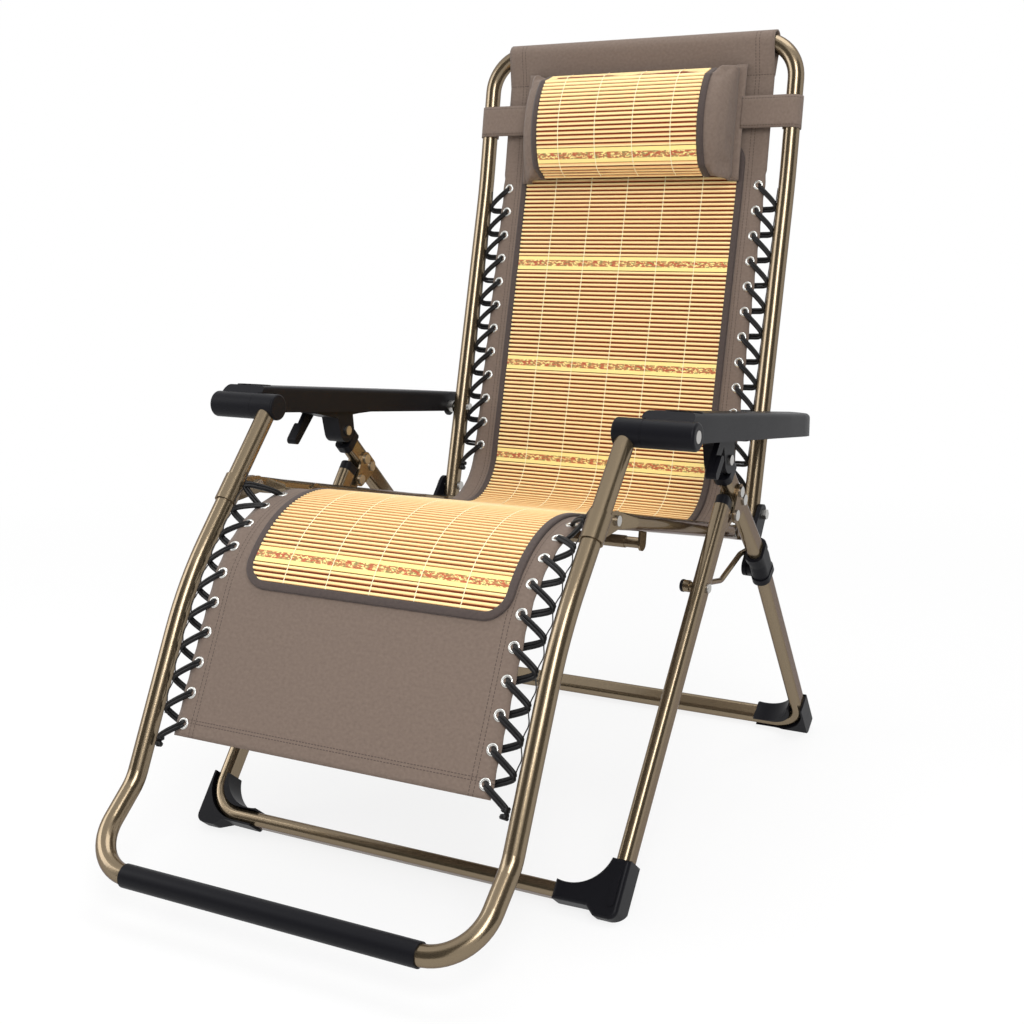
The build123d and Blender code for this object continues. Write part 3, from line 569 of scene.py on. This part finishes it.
def makeEyelets(name, part, body):
    bm = bmesh.new()
    thick = (eyelet["outer"] - eyelet["inner"]) / 2
    for distance in eyeletPlaces(part):
        way = sideAt(distance)[1]
        out = Vector((0, way.y, -way.x))
        for side in (-1, 1):
            ring = bmesh.ops.create_circle(bm, segments=eyelet["sides"], radius=thick)["verts"]
            bmesh.ops.scale(bm, vec=(1, eyelet["flatness"], 1), verts=ring)
            bmesh.ops.rotate(bm, verts=ring, cent=(0, 0, 0), matrix=Matrix.Rotation(math.pi / 2, 3, "X"))
            bmesh.ops.translate(bm, verts=ring, vec=((eyelet["outer"] + eyelet["inner"]) / 2, 0, 0))
            edges = list({edge for vert in ring for edge in vert.link_edges})
            bmesh.ops.spin(bm, geom=ring + edges, cent=(0, 0, 0), axis=(0, 0, 1), angle=2 * math.pi,
                           steps=eyelet["steps"], use_merge=True)
            turned = {vert for vert in bm.verts if not vert.tag}
            toFace = Vector((0, 0, 1)).rotation_difference(out).to_matrix().to_4x4()
            centre = place(sideAt, side * (sling["half"] - sling["eyeletIn"]), distance, eyelet["proud"])
            bmesh.ops.transform(bm, matrix=Matrix.Translation(centre) @ toFace, verts=list(turned))
            for vert in turned:
                vert.tag = True
    piece = makePiece(name, bm, eyeletMetal)
    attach(piece, body)
    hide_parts("eyelets_" + part)


makeEyelets("eyeletsBack", "back", "back")
makeEyelets("eyeletsLeg", "leg", "leg_rest")
print("eyelets pressed in")

# Lacing: doubled elastic from each eyelet to the tube and on to the next, with a wire along the tube
lacing = {
    "strand": 0.0025,
    "apart": 0.0023,
    "wire": 0.0008,
    "hookShare": {"back": (0.72, 0.94), "leg": (0.56, 0.68)},
    "hookIn": {"back": 0.0152, "leg": 0.0195},
    "front": 0.0034,
    "behind": 0.0034,
    "slack": 0.001,
    "edgeIn": 0.002,
    "edgeShare": 0.94,
    "knot": 0.0042,
    "knotIn": 0.002,
    "knotTurns": 9,
    "knotStep": 100,
    "knotSpread": 6,
    "wireShares": (0.12, 0.45, 0.79),
}


def splineTube(name, points, radius):  # tube along a smooth spline through the route
    curve = bpy.data.curves.new(name, "CURVE")
    curve.dimensions = "3D"
    spline = curve.splines.new("NURBS")
    spline.points.add(len(points) - 1)
    for knot, point in zip(spline.points, points):
        knot.co = (*point, 1.0)
    spline.order_u = 3
    spline.use_endpoint_u = True
    spline.resolution_u = 4
    curve.bevel_depth = radius
    curve.bevel_resolution = 1
    curve.use_fill_caps = True
    holder = bpy.data.objects.new(name + "Curve", curve)
    scene.collection.objects.link(holder)
    bpy.context.view_layer.update()
    mesh = bpy.data.meshes.new_from_object(holder.evaluated_get(bpy.context.evaluated_depsgraph_get()))
    bpy.data.objects.remove(holder)
    return mesh


def hookPlace(part, distance):  # place and heading on the tube beside a distance along the side line
    if part == "back":
        return sideAt(distance)
    spot, way = tubeAt(sideLength - distance)
    return spot, -way


def laceRoute(part, side, shift):
    plane = chairLine["backPlane"] if part == "back" else chairLine["legPlane"]
    hookX = plane - lacing["hookIn"][part]
    holeX = sling["half"] - sling["eyeletIn"]
    places = sorted(eyeletPlaces(part))
    points = []
    for i, distance in enumerate(places):
        at = distance + shift
        points.append(place(sideAt, side * (holeX + lacing["slack"]), at, -lacing["behind"]))
        points.append(place(sideAt, side * (holeX - lacing["slack"]), at, lacing["front"]))
        for share, out in zip(lacing["hookShare"][part], (lacing["front"], -lacing["behind"])):
            spot, way = hookPlace(part, distance + sling["pitch"] * share + shift)
            x = side * (hookX + lacing["slack"])
            points.append(Vector((x, spot.x + way.y * out, spot.y - way.x * out)))
        if i + 1 == len(places):  # tied off in a small knot
            for turn in range(lacing["knotTurns"]):
                angle = math.radians(lacing["knotStep"] * turn)
                across, out = lacing["knot"] * math.sin(angle), -lacing["knot"] * math.cos(angle)
                x = side * (hookX - lacing["knotIn"] + across)
                on = shift * turn / lacing["knotSpread"]
                points.append(Vector((x, spot.x + way.y * out + way.x * on, spot.y - way.x * out + way.y * on)))
        else:
            at = distance + sling["pitch"] * lacing["edgeShare"] + shift
            points.append(place(sideAt, side * (sling["half"] - lacing["edgeIn"]), at, -lacing["behind"]))
    return points


def wireRoute(part, side):
    plane = chairLine["backPlane"] if part == "back" else chairLine["legPlane"]
    hookX = plane - lacing["hookIn"][part] + lacing["slack"]
    tubeX = plane - chairLine["tubeRadius"] - lacing["wire"]
    points = []
    for distance in sorted(eyeletPlaces(part))[:-1]:
        for share, x in zip(lacing["wireShares"], (tubeX, hookX, hookX)):
            spot = hookPlace(part, distance + sling["pitch"] * share)[0]
            points.append(Vector((side * x, spot.x, spot.y)))
    return points


def joinMeshes(meshes):
    bm = bmesh.new()
    for mesh in meshes:
        bm.from_mesh(mesh)
        bpy.data.meshes.remove(mesh)
    return bm


def makeLacing(part, side, letter, body):  # both strands of one side, and its wire
    name = "lacing" + part.title() + letter
    strands = [splineTube(name, laceRoute(part, side, shift * lacing["apart"]), lacing["strand"])
               for shift in (-1, 1)]
    piece = makePiece(name, joinMeshes(strands), elastic)
    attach(piece, body)
    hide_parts("lacing_" + part + "_" + letter)
    wireName = "laceWire" + part.title() + letter
    wire = splineTube(wireName, wireRoute(part, side), lacing["wire"])
    wirePiece = makePiece(wireName, joinMeshes([wire]), darkWire)
    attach(wirePiece, body)


for part, body in (("back", "back"), ("leg", "leg_rest")):
    for side, letter in ((1, "L"), (-1, "R")):
        makeLacing(part, side, letter, body)
print("lacing run")

# Mat: bamboo slats on a red-brown backing, darkened as painted shade between the slats, bound all round
mat = {
    "half": 0.193,
    "top": 0.149,
    "endZ": 0.372,
    "corner": 0.037,
    "cutStep": 0.008,
    "bed": 0.0019,
    "bedThick": 0.0005,
    "bedIn": 0.002,
    "slatFrom": 0.0022,
    "slatTop": 0.0046,
    "slatUnder": 0.8,
    "rowUnder": 0.9,
    "binding": 0.0108,
    "bindTop": 0.0053,
    "bindSink": 0.0004,
    "bindRound": 0.0022,
    "bandWide": 0.0215,
    "bandThick": 0.0018,
    "bandSink": 0.0004,
    "bands": (0.3455, 0.511, 0.665),
    "lastBandUp": 0.047,
    "threads": (-0.128, -0.064, 0.0, 0.064, 0.128),
    "threadWide": 0.0011,
    "threadThick": 0.0005,
    "threadUp": 0.0003,
    "threadDip": 0.0007,
    "drift": 0.011,
    "driftFrom": 0.95,
}
matEnd = alongTo(lambda y, z: y < 0 and z < mat["endZ"])
matBands = [*mat["bands"], matEnd - mat["lastBandUp"]]


def layMat(bm):  # onto the sling, wandering a little to one side over the knees
    for vert in bm.verts:
        share = max((vert.co.y - mat["driftFrom"]) / (matEnd - mat["driftFrom"]), 0)
        vert.co.x += mat["drift"] * share * min(share, 1.0)
    lay(bm, sideAt)


def matPiece(name, bm, finish, part, thick=0.0, **how):  # laid onto the side line, like the sling
    layMat(bm)
    piece = makePiece(name, bm, finish, **how)
    if thick:
        thicken(piece, thick)
    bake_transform(piece)
    return piece


def roundedCut(half, s0, s1, corner):  # flat rounded rectangle
    bm = bmesh.new()
    corners = [bm.verts.new((x, s, 0)) for x, s in ((-half, s0), (half, s0), (half, s1), (-half, s1))]
    bm.faces.new(corners)
    bmesh.ops.bevel(bm, geom=bm.verts[:], offset=corner, offset_type="OFFSET", affect="VERTICES",
                    segments=8, profile=0.5, material=-1)
    return bm


def makeBacking(name, part, s0, s1):
    inside = mat["bedIn"]
    bm = roundedCut(mat["half"] - inside, mat["top"] + inside, matEnd - inside, mat["corner"])
    keepPart(bm, s0, s1)
    sliceAlong(bm, s0, s1, mat["cutStep"])
    keepFlatMap(bm)
    bmesh.ops.translate(bm, vec=(0, 0, mat["bed"]), verts=bm.verts)
    return matPiece(name, bm, matBacking, part, mat["bedThick"])


def makeBinding(name, part, s0, s1):
    bm = roundedCut(mat["half"], mat["top"], matEnd, mat["corner"])
    inner = bmesh.ops.inset_individual(bm, faces=bm.faces[:], thickness=mat["binding"], use_even_offset=True)
    rim = inner["faces"]
    middle = [face for face in bm.faces if face not in rim]
    bmesh.ops.delete(bm, geom=middle, context="FACES_ONLY")
    raised = bmesh.ops.extrude_face_region(bm, geom=bm.faces[:])["geom"]
    top = [item for item in raised if isinstance(item, bmesh.types.BMVert)]
    bmesh.ops.translate(bm, vec=(0, 0, mat["bindTop"] - mat["bed"] + mat["bindSink"]), verts=top)
    edges = [edge for edge in bm.edges if all(vert.co.z > 0.001 for vert in edge.verts)
             and any(abs(face.normal.z) < 0.5 for face in edge.link_faces)]  # the upper inner and outer edge
    bmesh.ops.bevel(bm, geom=edges, offset=mat["bindRound"], offset_type="OFFSET", affect="EDGES",
                    segments=3, profile=0.5, material=-1)
    bmesh.ops.translate(bm, vec=(0, 0, mat["bed"] - mat["bindSink"]), verts=bm.verts)
    keepPart(bm, s0, s1)
    sliceAlong(bm, s0, s1, mat["cutStep"])
    keepFlatMap(bm)
    return matPiece(name, bm, binding, part)


def slatReach(distance):  # half length of a slat, shorter in the rounded corners
    near = min(distance - mat["top"], matEnd - distance)
    corner = mat["corner"]
    lost = corner - math.sqrt(max(corner ** 2 - max(corner - near, 0) ** 2, 0))
    return mat["half"] - lost - mat["binding"] * mat["slatUnder"]


def addSlat(bm, reach, distance, wide, foot, top):  # a bar with a rounded upper face
    made = bmesh.ops.create_cube(bm, size=1.0)["verts"]
    bmesh.ops.scale(bm, vec=(2 * reach, wide, top - foot), verts=made)
    bmesh.ops.translate(bm, vec=(0, distance, (top + foot) / 2), verts=made)
    upper = [edge for edge in {e for vert in made for e in vert.link_edges}
             if all(vert.co.z > top - 1e-6 for vert in edge.verts)
             and abs(edge.verts[0].co.x - edge.verts[1].co.x) > reach]
    bmesh.ops.bevel(bm, geom=upper, offset=min(bamboo["round"], wide / 4), offset_type="OFFSET", affect="EDGES",
                    segments=2, profile=0.5, material=-1)


def slatRows(start, stop):  # even places that fill the run from one edge to the next
    count = round((stop - start) / bamboo["pitch"])
    return [start + (stop - start) * (i + 0.5) / count for i in range(count)]


def slatPlaces(s0, s1):
    edges = [mat["top"] + mat["binding"] * mat["rowUnder"]]
    for band in matBands:
        edges += [band - mat["bandWide"] / 2, band + mat["bandWide"] / 2]
    edges.append(matEnd - mat["binding"] * mat["rowUnder"])
    rows = [row for start, stop in zip(edges[::2], edges[1::2]) for row in slatRows(start, stop)]
    return [row for row in rows if s0 <= row < s1]


def mapSlats(bm, places):  # counts the slats along, each from 0 to 1 across its width
    uv = bm.loops.layers.uv.new("flat")
    for face in bm.faces:
        middle = face.calc_center_median().y
        number = min(range(len(places)), key=lambda i: abs(places[i] - middle))
        for loop in face.loops:
            share = (loop.vert.co.y - places[number]) / bamboo["wide"]
            loop[uv].uv = (loop.vert.co.x, number + 0.5 + 0.99 * share)


def makeSlats(name, part, s0, s1):
    bm = bmesh.new()
    places = slatPlaces(s0, s1)
    for distance in places:
        addSlat(bm, slatReach(distance), distance, bamboo["wide"], mat["slatFrom"], mat["slatTop"])
    mapSlats(bm, places)
    return matPiece(name, bm, slats, part, smooth=False)


def bandStrip(reach, distance, top):  # a printed band, flat, with its upper face at the given height
    strip = flatStrip(-reach, reach, -mat["bandWide"] / 2, mat["bandWide"] / 2, 8, 6)
    keepFlatMap(strip)
    bmesh.ops.solidify(strip, geom=strip.faces[:], thickness=mat["bandThick"])
    bmesh.ops.translate(strip, vec=(0, distance, top), verts=strip.verts)
    return strip


def makeBands(name, part, s0, s1):
    bm = bmesh.new()
    for band in matBands:
        if s0 <= band < s1:
            addForm(bm, bandStrip(slatReach(band), band, mat["slatTop"] - mat["bandSink"]))
    return matPiece(name, bm, bandPrint, part, smooth=False)


def threadStrip(x, start, stop, rows):
    return flatStrip(x - mat["threadWide"] / 2, x + mat["threadWide"] / 2, start, stop, 1, rows)


def makeThreads(name, part, s0, s1):  # over each slat and down between two
    bm = bmesh.new()
    start, stop = max(s0, mat["top"] + mat["binding"]), min(s1, matEnd - mat["binding"])
    rows = round((stop - start) / bamboo["pitch"] * 4)
    for x in mat["threads"]:
        strip = threadStrip(x, start, stop, rows)
        for vert in strip.verts:
            wave = math.cos(2 * math.pi * (vert.co.y / bamboo["pitch"] - 0.5))
            vert.co.z = mat["slatTop"] + mat["threadUp"] - mat["threadDip"] * (1 - wave) / 2
        addForm(bm, strip)
    return matPiece(name, bm, threadLight, part, mat["threadThick"], recalc=False)


for part, s0, s1 in (("upper", mat["top"] - 0.01, seatMiddle), ("lower", seatMiddle, matEnd + 0.01)):
    label = part.title()
    backing = makeBacking("matBacking" + label, part, s0, s1)
    onTop = [
        makeBinding("matBinding" + label, part, s0, s1),
        makeSlats("matSlats" + label, part, s0, s1),
        makeBands("matBands" + label, part, s0, s1),
        makeThreads("matThreads" + label, part, s0, s1),
    ]
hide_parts("mat_back")
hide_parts("mat_seat", "mat_leg")
print("mat laid, end at", round(matEnd, 3))

# Head pillow: filled cushion with a slatted front, strapped to the back tubes
pillow = {
    "up": 0.09,
    "rest": 0.0066,
    "high": 0.173,
    "deep": 0.058,
    "flat": 0.141,
    "end": 0.183,
    "endDeep": 0.013,
    "ears": 0.05,
    "seam": (0.17, 0.1875),
    "seamThick": 0.0022,
    "seamOut": 0.006,
    "seamDip": 0.002,
    "seamUp": 0.002,
    "seamShare": 0.975,
    "crown": 0.93,
    "lip": 0.3,
    "cuts": 19,
    "voxel": 0.005,
    "pressure": 4.0,
    "fillSteps": 20,
    "cap": 0.007,
    "sweep": 80,
    "sweepStep": 2,
    "core": 0.004,
    "rayFrom": 0.2,
    "rayLength": 0.25,
    "rayMissed": 0.14,
    "frontHalf": 0.142,
    "hitHalf": 0.138,
    "margin": 0.004,
    "bed": 0.0012,
    "slatIn": 0.006,
    "slatFrom": 0.0014,
    "slatTop": 0.0036,
    "bandUp": 0.24,
    "bandTop": 0.0034,
    "threads": (-0.098, -0.034, 0.03, 0.094),
    "threadMargin": 0.008,
    "threadTop": 0.0037,
    "bindIn": 0.001,
    "bindHalf": 0.006,
    "bindFall": 0.0022,
    "bindThick": 0.0012,
    "strapHalf": 0.0245,
    "strapLift": 0.017,
    "strapThick": 0.0016,
    "strapStart": 0.184,
    "strapRound": 0.0137,
    "strapTurn": 300,
    "strapSteps": 19,
    "strapSeam": 0.0205,
}
pillowAt = leanStep(backBend, chairLine["topLean"], pillow["up"])
pillowUp = leanStep(Vector((0, 0)), chairLine["topLean"], 1.0)
pillowOut = Vector((-pillowUp.y, pillowUp.x))


def pillowSpot(x, up, out):
    spot = pillowAt + pillowUp * up + pillowOut * out
    return Vector((x, spot.x, spot.y))


def endShare(x):  # 0 over the front, 1 at the end seams
    return min(max((abs(x) - pillow["flat"]) / (pillow["end"] - pillow["flat"]), 0), 1)


def pillowHalf(x):  # half height, drawn out to ears at the end seams
    return pillow["high"] / 2 * (1 + pillow["ears"] * endShare(x) ** 2)


def pillowDepth(x):  # full over the front, drawn in to the end seams
    share = endShare(x)
    return pillow["endDeep"] + (pillow["deep"] - pillow["endDeep"]) * math.sqrt(1 - share ** 2)


def swell(piece):  # pressure in the cover, with each point's move held within a cap
    start = [vert.co.copy() for vert in piece.data.vertices]
    cloth = piece.modifiers.new("fill", "CLOTH")
    cloth.settings.use_pressure = True
    cloth.settings.uniform_pressure_force = pillow["pressure"]
    cloth.settings.effector_weights.gravity = 0
    cloth.settings.quality = 6
    for step in range(1, pillow["fillSteps"] + 1):
        scene.frame_set(step)
    baked = bpy.data.meshes.new_from_object(piece.evaluated_get(bpy.context.evaluated_depsgraph_get()))
    for vert, before in zip(baked.vertices, start):
        move = vert.co - before
        if move.length > pillow["cap"]:
            vert.co = before + move * (pillow["cap"] / move.length)
    piece.modifiers.clear()
    old = piece.data
    piece.data = baked
    bpy.data.meshes.remove(old)
    scene.frame_set(1)


def makeCushion():
    bm = bmesh.new()
    bmesh.ops.create_cube(bm, size=2.0)
    bmesh.ops.subdivide_edges(bm, edges=bm.edges[:], cuts=pillow["cuts"], use_grid_fill=True)
    for vert in bm.verts:
        x = vert.co.x * pillow["end"]
        crown = math.sqrt(1 - (pillow["crown"] * vert.co.y) ** 2)
        deep = pillowDepth(x) * max(crown, pillow["lip"] + (1 - pillow["lip"]) * endShare(x))
        vert.co = pillowSpot(x, vert.co.y * pillowHalf(x), pillow["rest"] + (vert.co.z + 1) / 2 * deep)
    piece = makePiece("pillowCushion", bm, canvas("pillowCanvas", space=objectSpace))
    remesh = piece.modifiers.new("voxels", "REMESH")
    remesh.mode = "VOXEL"
    remesh.voxel_size = pillow["voxel"]
    fine = bpy.data.meshes.new_from_object(piece.evaluated_get(bpy.context.evaluated_depsgraph_get()))
    piece.modifiers.clear()
    piece.data = fine
    swell(piece)
    for vert in piece.data.vertices:  # the back lies against the mat and the sling
        out = Vector((vert.co.y, vert.co.z)) - pillowAt
        short = pillow["rest"] - out.dot(pillowOut)
        if short > 0:
            vert.co += Vector((0, *(pillowOut * short)))
    piece.data.polygons.foreach_set("use_smooth", [True] * len(piece.data.polygons))
    return piece


cushion = makeCushion()
cushionTree = BVHTree.FromPolygons([vert.co for vert in cushion.data.vertices],
                                   [face.vertices for face in cushion.data.polygons])


def frontHit(x, angle):  # where a ray from outside to the pillow's back middle meets the cover
    middle = pillowSpot(x, 0, pillow["rest"] + pillow["core"])
    way = pillowSpot(0, math.sin(angle), math.cos(angle)) - pillowSpot(0, 0, 0)
    far = middle + way * pillow["rayFrom"]
    hit = cushionTree.ray_cast(far, -way, pillow["rayLength"])[0]
    return (hit, way) if hit else (far - way * pillow["rayMissed"], way)


sweepDegrees = range(-pillow["sweep"], pillow["sweep"] + 1, pillow["sweepStep"])
frontAngles = [math.radians(degrees) for degrees in sweepDegrees]
frontReach = [0.0]
for a, b in zip(frontAngles, frontAngles[1:]):
    frontReach.append(frontReach[-1] + (frontHit(0, b)[0] - frontHit(0, a)[0]).length)
frontLength = frontReach[-1]


def layOnPillow(bm):  # across, along the cover's front and out of it
    for vert in bm.verts:
        x, along, height = vert.co
        i = min(max(bisect.bisect_right(frontReach, along) - 1, 0), len(frontReach) - 2)
        share = (along - frontReach[i]) / (frontReach[i + 1] - frontReach[i])
        angle = frontAngles[i] + (frontAngles[i + 1] - frontAngles[i]) * share
        hit, way = frontHit(max(min(x, pillow["hitHalf"]), -pillow["hitHalf"]), angle)
        vert.co = Vector((x, hit.y, hit.z)) + way * height


def onPillow(name, bm, finish, smooth=True):
    layOnPillow(bm)
    piece = makePiece(name, bm, finish, smooth=smooth)
    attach(piece, "pillow")
    return piece


def pillowFront():  # backing, slats, band, threads and side tapes
    half, margin = pillow["frontHalf"], pillow["margin"]
    bed = flatStrip(-half, half, margin, frontLength - margin, 12, 60)
    keepFlatMap(bed)
    bmesh.ops.translate(bed, vec=(0, 0, pillow["bed"]), verts=bed.verts)
    thicken(onPillow("pillowBacking", bed, matBacking), mat["bedThick"])
    bars = bmesh.new()
    band = frontLength * pillow["bandUp"]
    reach = half - pillow["slatIn"]
    places = slatRows(margin, band - mat["bandWide"] / 2)
    places += slatRows(band + mat["bandWide"] / 2, frontLength - margin)
    for distance in places:
        addSlat(bars, reach, distance, bamboo["wide"], pillow["slatFrom"], pillow["slatTop"])
    mapSlats(bars, places)
    onPillow("pillowSlats", bars, slats, smooth=False)
    onPillow("pillowBand", bandStrip(reach, band, pillow["bandTop"]), bandPrint, smooth=False)
    threads = bmesh.new()
    for x in pillow["threads"]:
        run = threadStrip(x, pillow["threadMargin"], frontLength - pillow["threadMargin"], 90)
        bmesh.ops.translate(run, vec=(0, 0, pillow["threadTop"]), verts=run.verts)
        addForm(threads, run)
    thicken(onPillow("pillowThreads", threads, threadLight), mat["threadThick"])
    edges = bmesh.new()
    bindAt, bindHalf = half - pillow["bindIn"], pillow["bindHalf"]
    for side in (-1, 1):
        tape = flatStrip(side * bindAt - bindHalf, side * bindAt + bindHalf, 0.0, frontLength, 4, 60)
        for vert in tape.verts:
            fall = ((abs(vert.co.x) - bindAt) / bindHalf) ** 2
            vert.co.z = pillow["slatTop"] - pillow["bindFall"] * fall
        keepFlatMap(tape)
        addForm(edges, tape)
    thicken(onPillow("pillowBinding", edges, binding), pillow["bindThick"], -1.0)


def endSeams():  # the cover's flat sewn edge at both ends
    bm = bmesh.new()
    near, far = pillow["seam"]
    for side in (-1, 1):
        strip = flatStrip(near, far, -1.0, 1.0, 3, 24)
        for vert in strip.verts:
            up = pillow["seamUp"] + vert.co.y * pillowHalf(pillow["end"]) * pillow["seamShare"]
            out = pillow["rest"] + pillow["seamOut"] - pillow["seamDip"] * abs(vert.co.y) ** 4
            vert.co = pillowSpot(side * vert.co.x, up, out)
        addForm(bm, strip)
    piece = makePiece("pillowSeams", bm, canvas("seamCanvas", space=objectSpace))
    thicken(piece, pillow["seamThick"])
    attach(piece, "pillow")


soften(cushion)
endSeams()
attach(cushion, "pillow")
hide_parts("pillow")
pillowFront()


def strapLine():  # across from the pillow, round the tube and back onto itself
    tubeX = chairLine["backPlane"]
    wrap = pillow["strapRound"]
    points = [Vector((pillow["strapStart"], wrap)), Vector((tubeX, wrap))]
    for i in range(1, pillow["strapSteps"] + 1):
        angle = math.pi / 2 - math.radians(pillow["strapTurn"]) * i / pillow["strapSteps"]
        points.append(Vector((tubeX + wrap * math.cos(angle), wrap * math.sin(angle))))
    return points


strapAt, strapLength = follow(strapLine())


def makeStrap(name, side, node):
    bm = flatStrip(-pillow["strapHalf"], pillow["strapHalf"], 0, strapLength, 6, 60)
    keepFlatMap(bm)
    for vert in bm.verts:
        spot = strapAt(vert.co.y)[0]
        vert.co = pillowSpot(side * spot.x, vert.co.x + pillow["strapLift"], spot.y)
    piece = makePiece(name, bm, canvas(name + "Canvas", (pillow["strapSeam"],)))
    thicken(piece, pillow["strapThick"])
    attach(piece, "pillow")
    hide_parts(node)


makeStrap("pillowStrapL", 1, "pillow_strap_L")
makeStrap("pillowStrapR", -1, "pillow_strap_R")
print("pillow filled and strapped")

# Studio: pale floor, soft lamps, white behind, dark cards for the tubes to mirror
studio = {
    "floor": 12.0,
    "white": 0.82,
    "whiteFrom": 0.7,
    "whiteTo": 2.6,
    "world": 0.55,
    "lamps": {  # place, aim, size and power
        "keyLamp": ((1.6, -2.2, 2.3), (0, 0, 0.5), (1.1, 1.8), 60.0),
        "fillLamp": ((-2.6, -1.2, 1.6), (0, 0, 0.5), (1.4, 1.8), 26.0),
        "topLamp": ((0.2, 0.6, 3.2), (0, 0.1, 0.4), (2.0, 2.0), 40.0),
    },
    "cards": {"leftCard": (164, 4.4), "rightCard": (256, 3.8)},  # bearing and width
    "cardFar": 4.6,
    "cardHigh": 5.5,
    "cardTone": shade(40, 37, 34),
}
photoView = {
    "azimuth": 28.368,
    "tilt": 11.476,
    "roll": -0.291,
    "lens": 51.72,
    "sensor": 36.0,
    "place": (0.9806, -1.7410, 0.8345),
}


def seenDirect(tree):  # camera, mirror and glass rays alike
    path = addNode(tree, "ShaderNodeLightPath").outputs
    seen = maths(tree, "MAXIMUM", path["Is Camera Ray"], path["Is Transmission Ray"])
    return maths(tree, "MAXIMUM", seen, path["Is Glossy Ray"])


def makeFloor():  # white further off, with the chair's shadow kept near it
    bm = bmesh.new()
    bmesh.ops.create_grid(bm, x_segments=1, y_segments=1, size=studio["floor"])
    finish, surface = newFinish("paleFloor", (0.9, 0.9, 0.9, 1), 0.9)
    tree = finish.node_tree
    out = tree.nodes["Material Output"]
    glow = addNode(tree, "ShaderNodeEmission", {"Color": (1, 1, 1, 1), "Strength": 1.0})
    away = addNode(tree, "ShaderNodeVectorMath", {0: objectSpace(tree)}, operation="LENGTH").outputs["Value"]
    share = addNode(tree, "ShaderNodeMapRange", {0: away, 1: studio["whiteFrom"], 2: studio["whiteTo"],
                                                 3: studio["white"], 4: 1.0})
    seen = maths(tree, "MULTIPLY", seenDirect(tree), share.outputs[0])
    mix = addNode(tree, "ShaderNodeMixShader", {0: seen, 1: surface.outputs[0], 2: glow.outputs[0]})
    tree.links.new(mix.outputs[0], out.inputs["Surface"])
    makePiece("floor", bm, finish)


def makeWorld():
    world = bpy.data.worlds.new("studioAir")
    scene.world = world
    world.use_nodes = True
    tree = world.node_tree
    background = tree.nodes["Background"]
    background.inputs["Color"].default_value = (1, 1, 1, 1)
    strength = maths(tree, "MAXIMUM", seenDirect(tree), studio["world"])
    tree.links.new(strength, background.inputs["Strength"])


def addLamp(name, spot, aim, size, power):  # a soft panel turned to its aim
    lamp = bpy.data.lights.new(name, "AREA")
    lamp.shape = "RECTANGLE"
    lamp.size, lamp.size_y = size
    lamp.energy = power
    holder = bpy.data.objects.new(name, lamp)
    scene.collection.objects.link(holder)
    holder.location = spot
    holder.rotation_euler = (Vector(aim) - Vector(spot)).to_track_quat("-Z", "Y").to_euler()


def addCard(name, bearing, wide, finish):  # dark panel that only the tubes' shine shows
    bm = bmesh.new()
    bmesh.ops.create_grid(bm, x_segments=1, y_segments=1, size=0.5)
    bmesh.ops.scale(bm, vec=(wide, studio["cardHigh"], 1), verts=bm.verts)
    spot = Matrix.Translation((0, studio["cardHigh"] / 2, -studio["cardFar"]))
    turn = Matrix.Rotation(math.radians(bearing), 4, "Z") @ Matrix.Rotation(math.pi / 2, 4, "X")
    bmesh.ops.transform(bm, matrix=turn @ spot, verts=bm.verts)
    card = makePiece(name, bm, finish)
    card.visible_camera = card.visible_diffuse = card.visible_shadow = card.visible_transmission = False


def addCamera():  # at the photograph's viewing angle
    azimuth, tilt, roll = (math.radians(photoView[angle]) for angle in ("azimuth", "tilt", "roll"))
    ahead = Vector((-math.sin(azimuth) * math.cos(tilt), math.cos(azimuth) * math.cos(tilt), -math.sin(tilt)))
    right = ahead.cross(Vector((0, 0, 1))).normalized()
    up = right.cross(ahead)
    right, up = (math.cos(roll) * right + math.sin(roll) * up, -math.sin(roll) * right + math.cos(roll) * up)
    lens = bpy.data.cameras.new("view")
    lens.lens = photoView["lens"]
    lens.sensor_width = photoView["sensor"]
    camera = bpy.data.objects.new("view", lens)
    scene.collection.objects.link(camera)
    turn = Matrix((right, up, -ahead)).transposed().to_4x4()
    camera.matrix_world = Matrix.Translation(photoView["place"]) @ turn
    scene.camera = camera


makeFloor()
makeWorld()
for name, settings in studio["lamps"].items():
    addLamp(name, *settings)
cardDark = newFinish("darkCard", studio["cardTone"], 0.9)[0]
for name, (bearing, wide) in studio["cards"].items():
    addCard(name, bearing, wide, cardDark)
addCamera()
scene.view_settings.view_transform = "Standard"
print("studio lit")
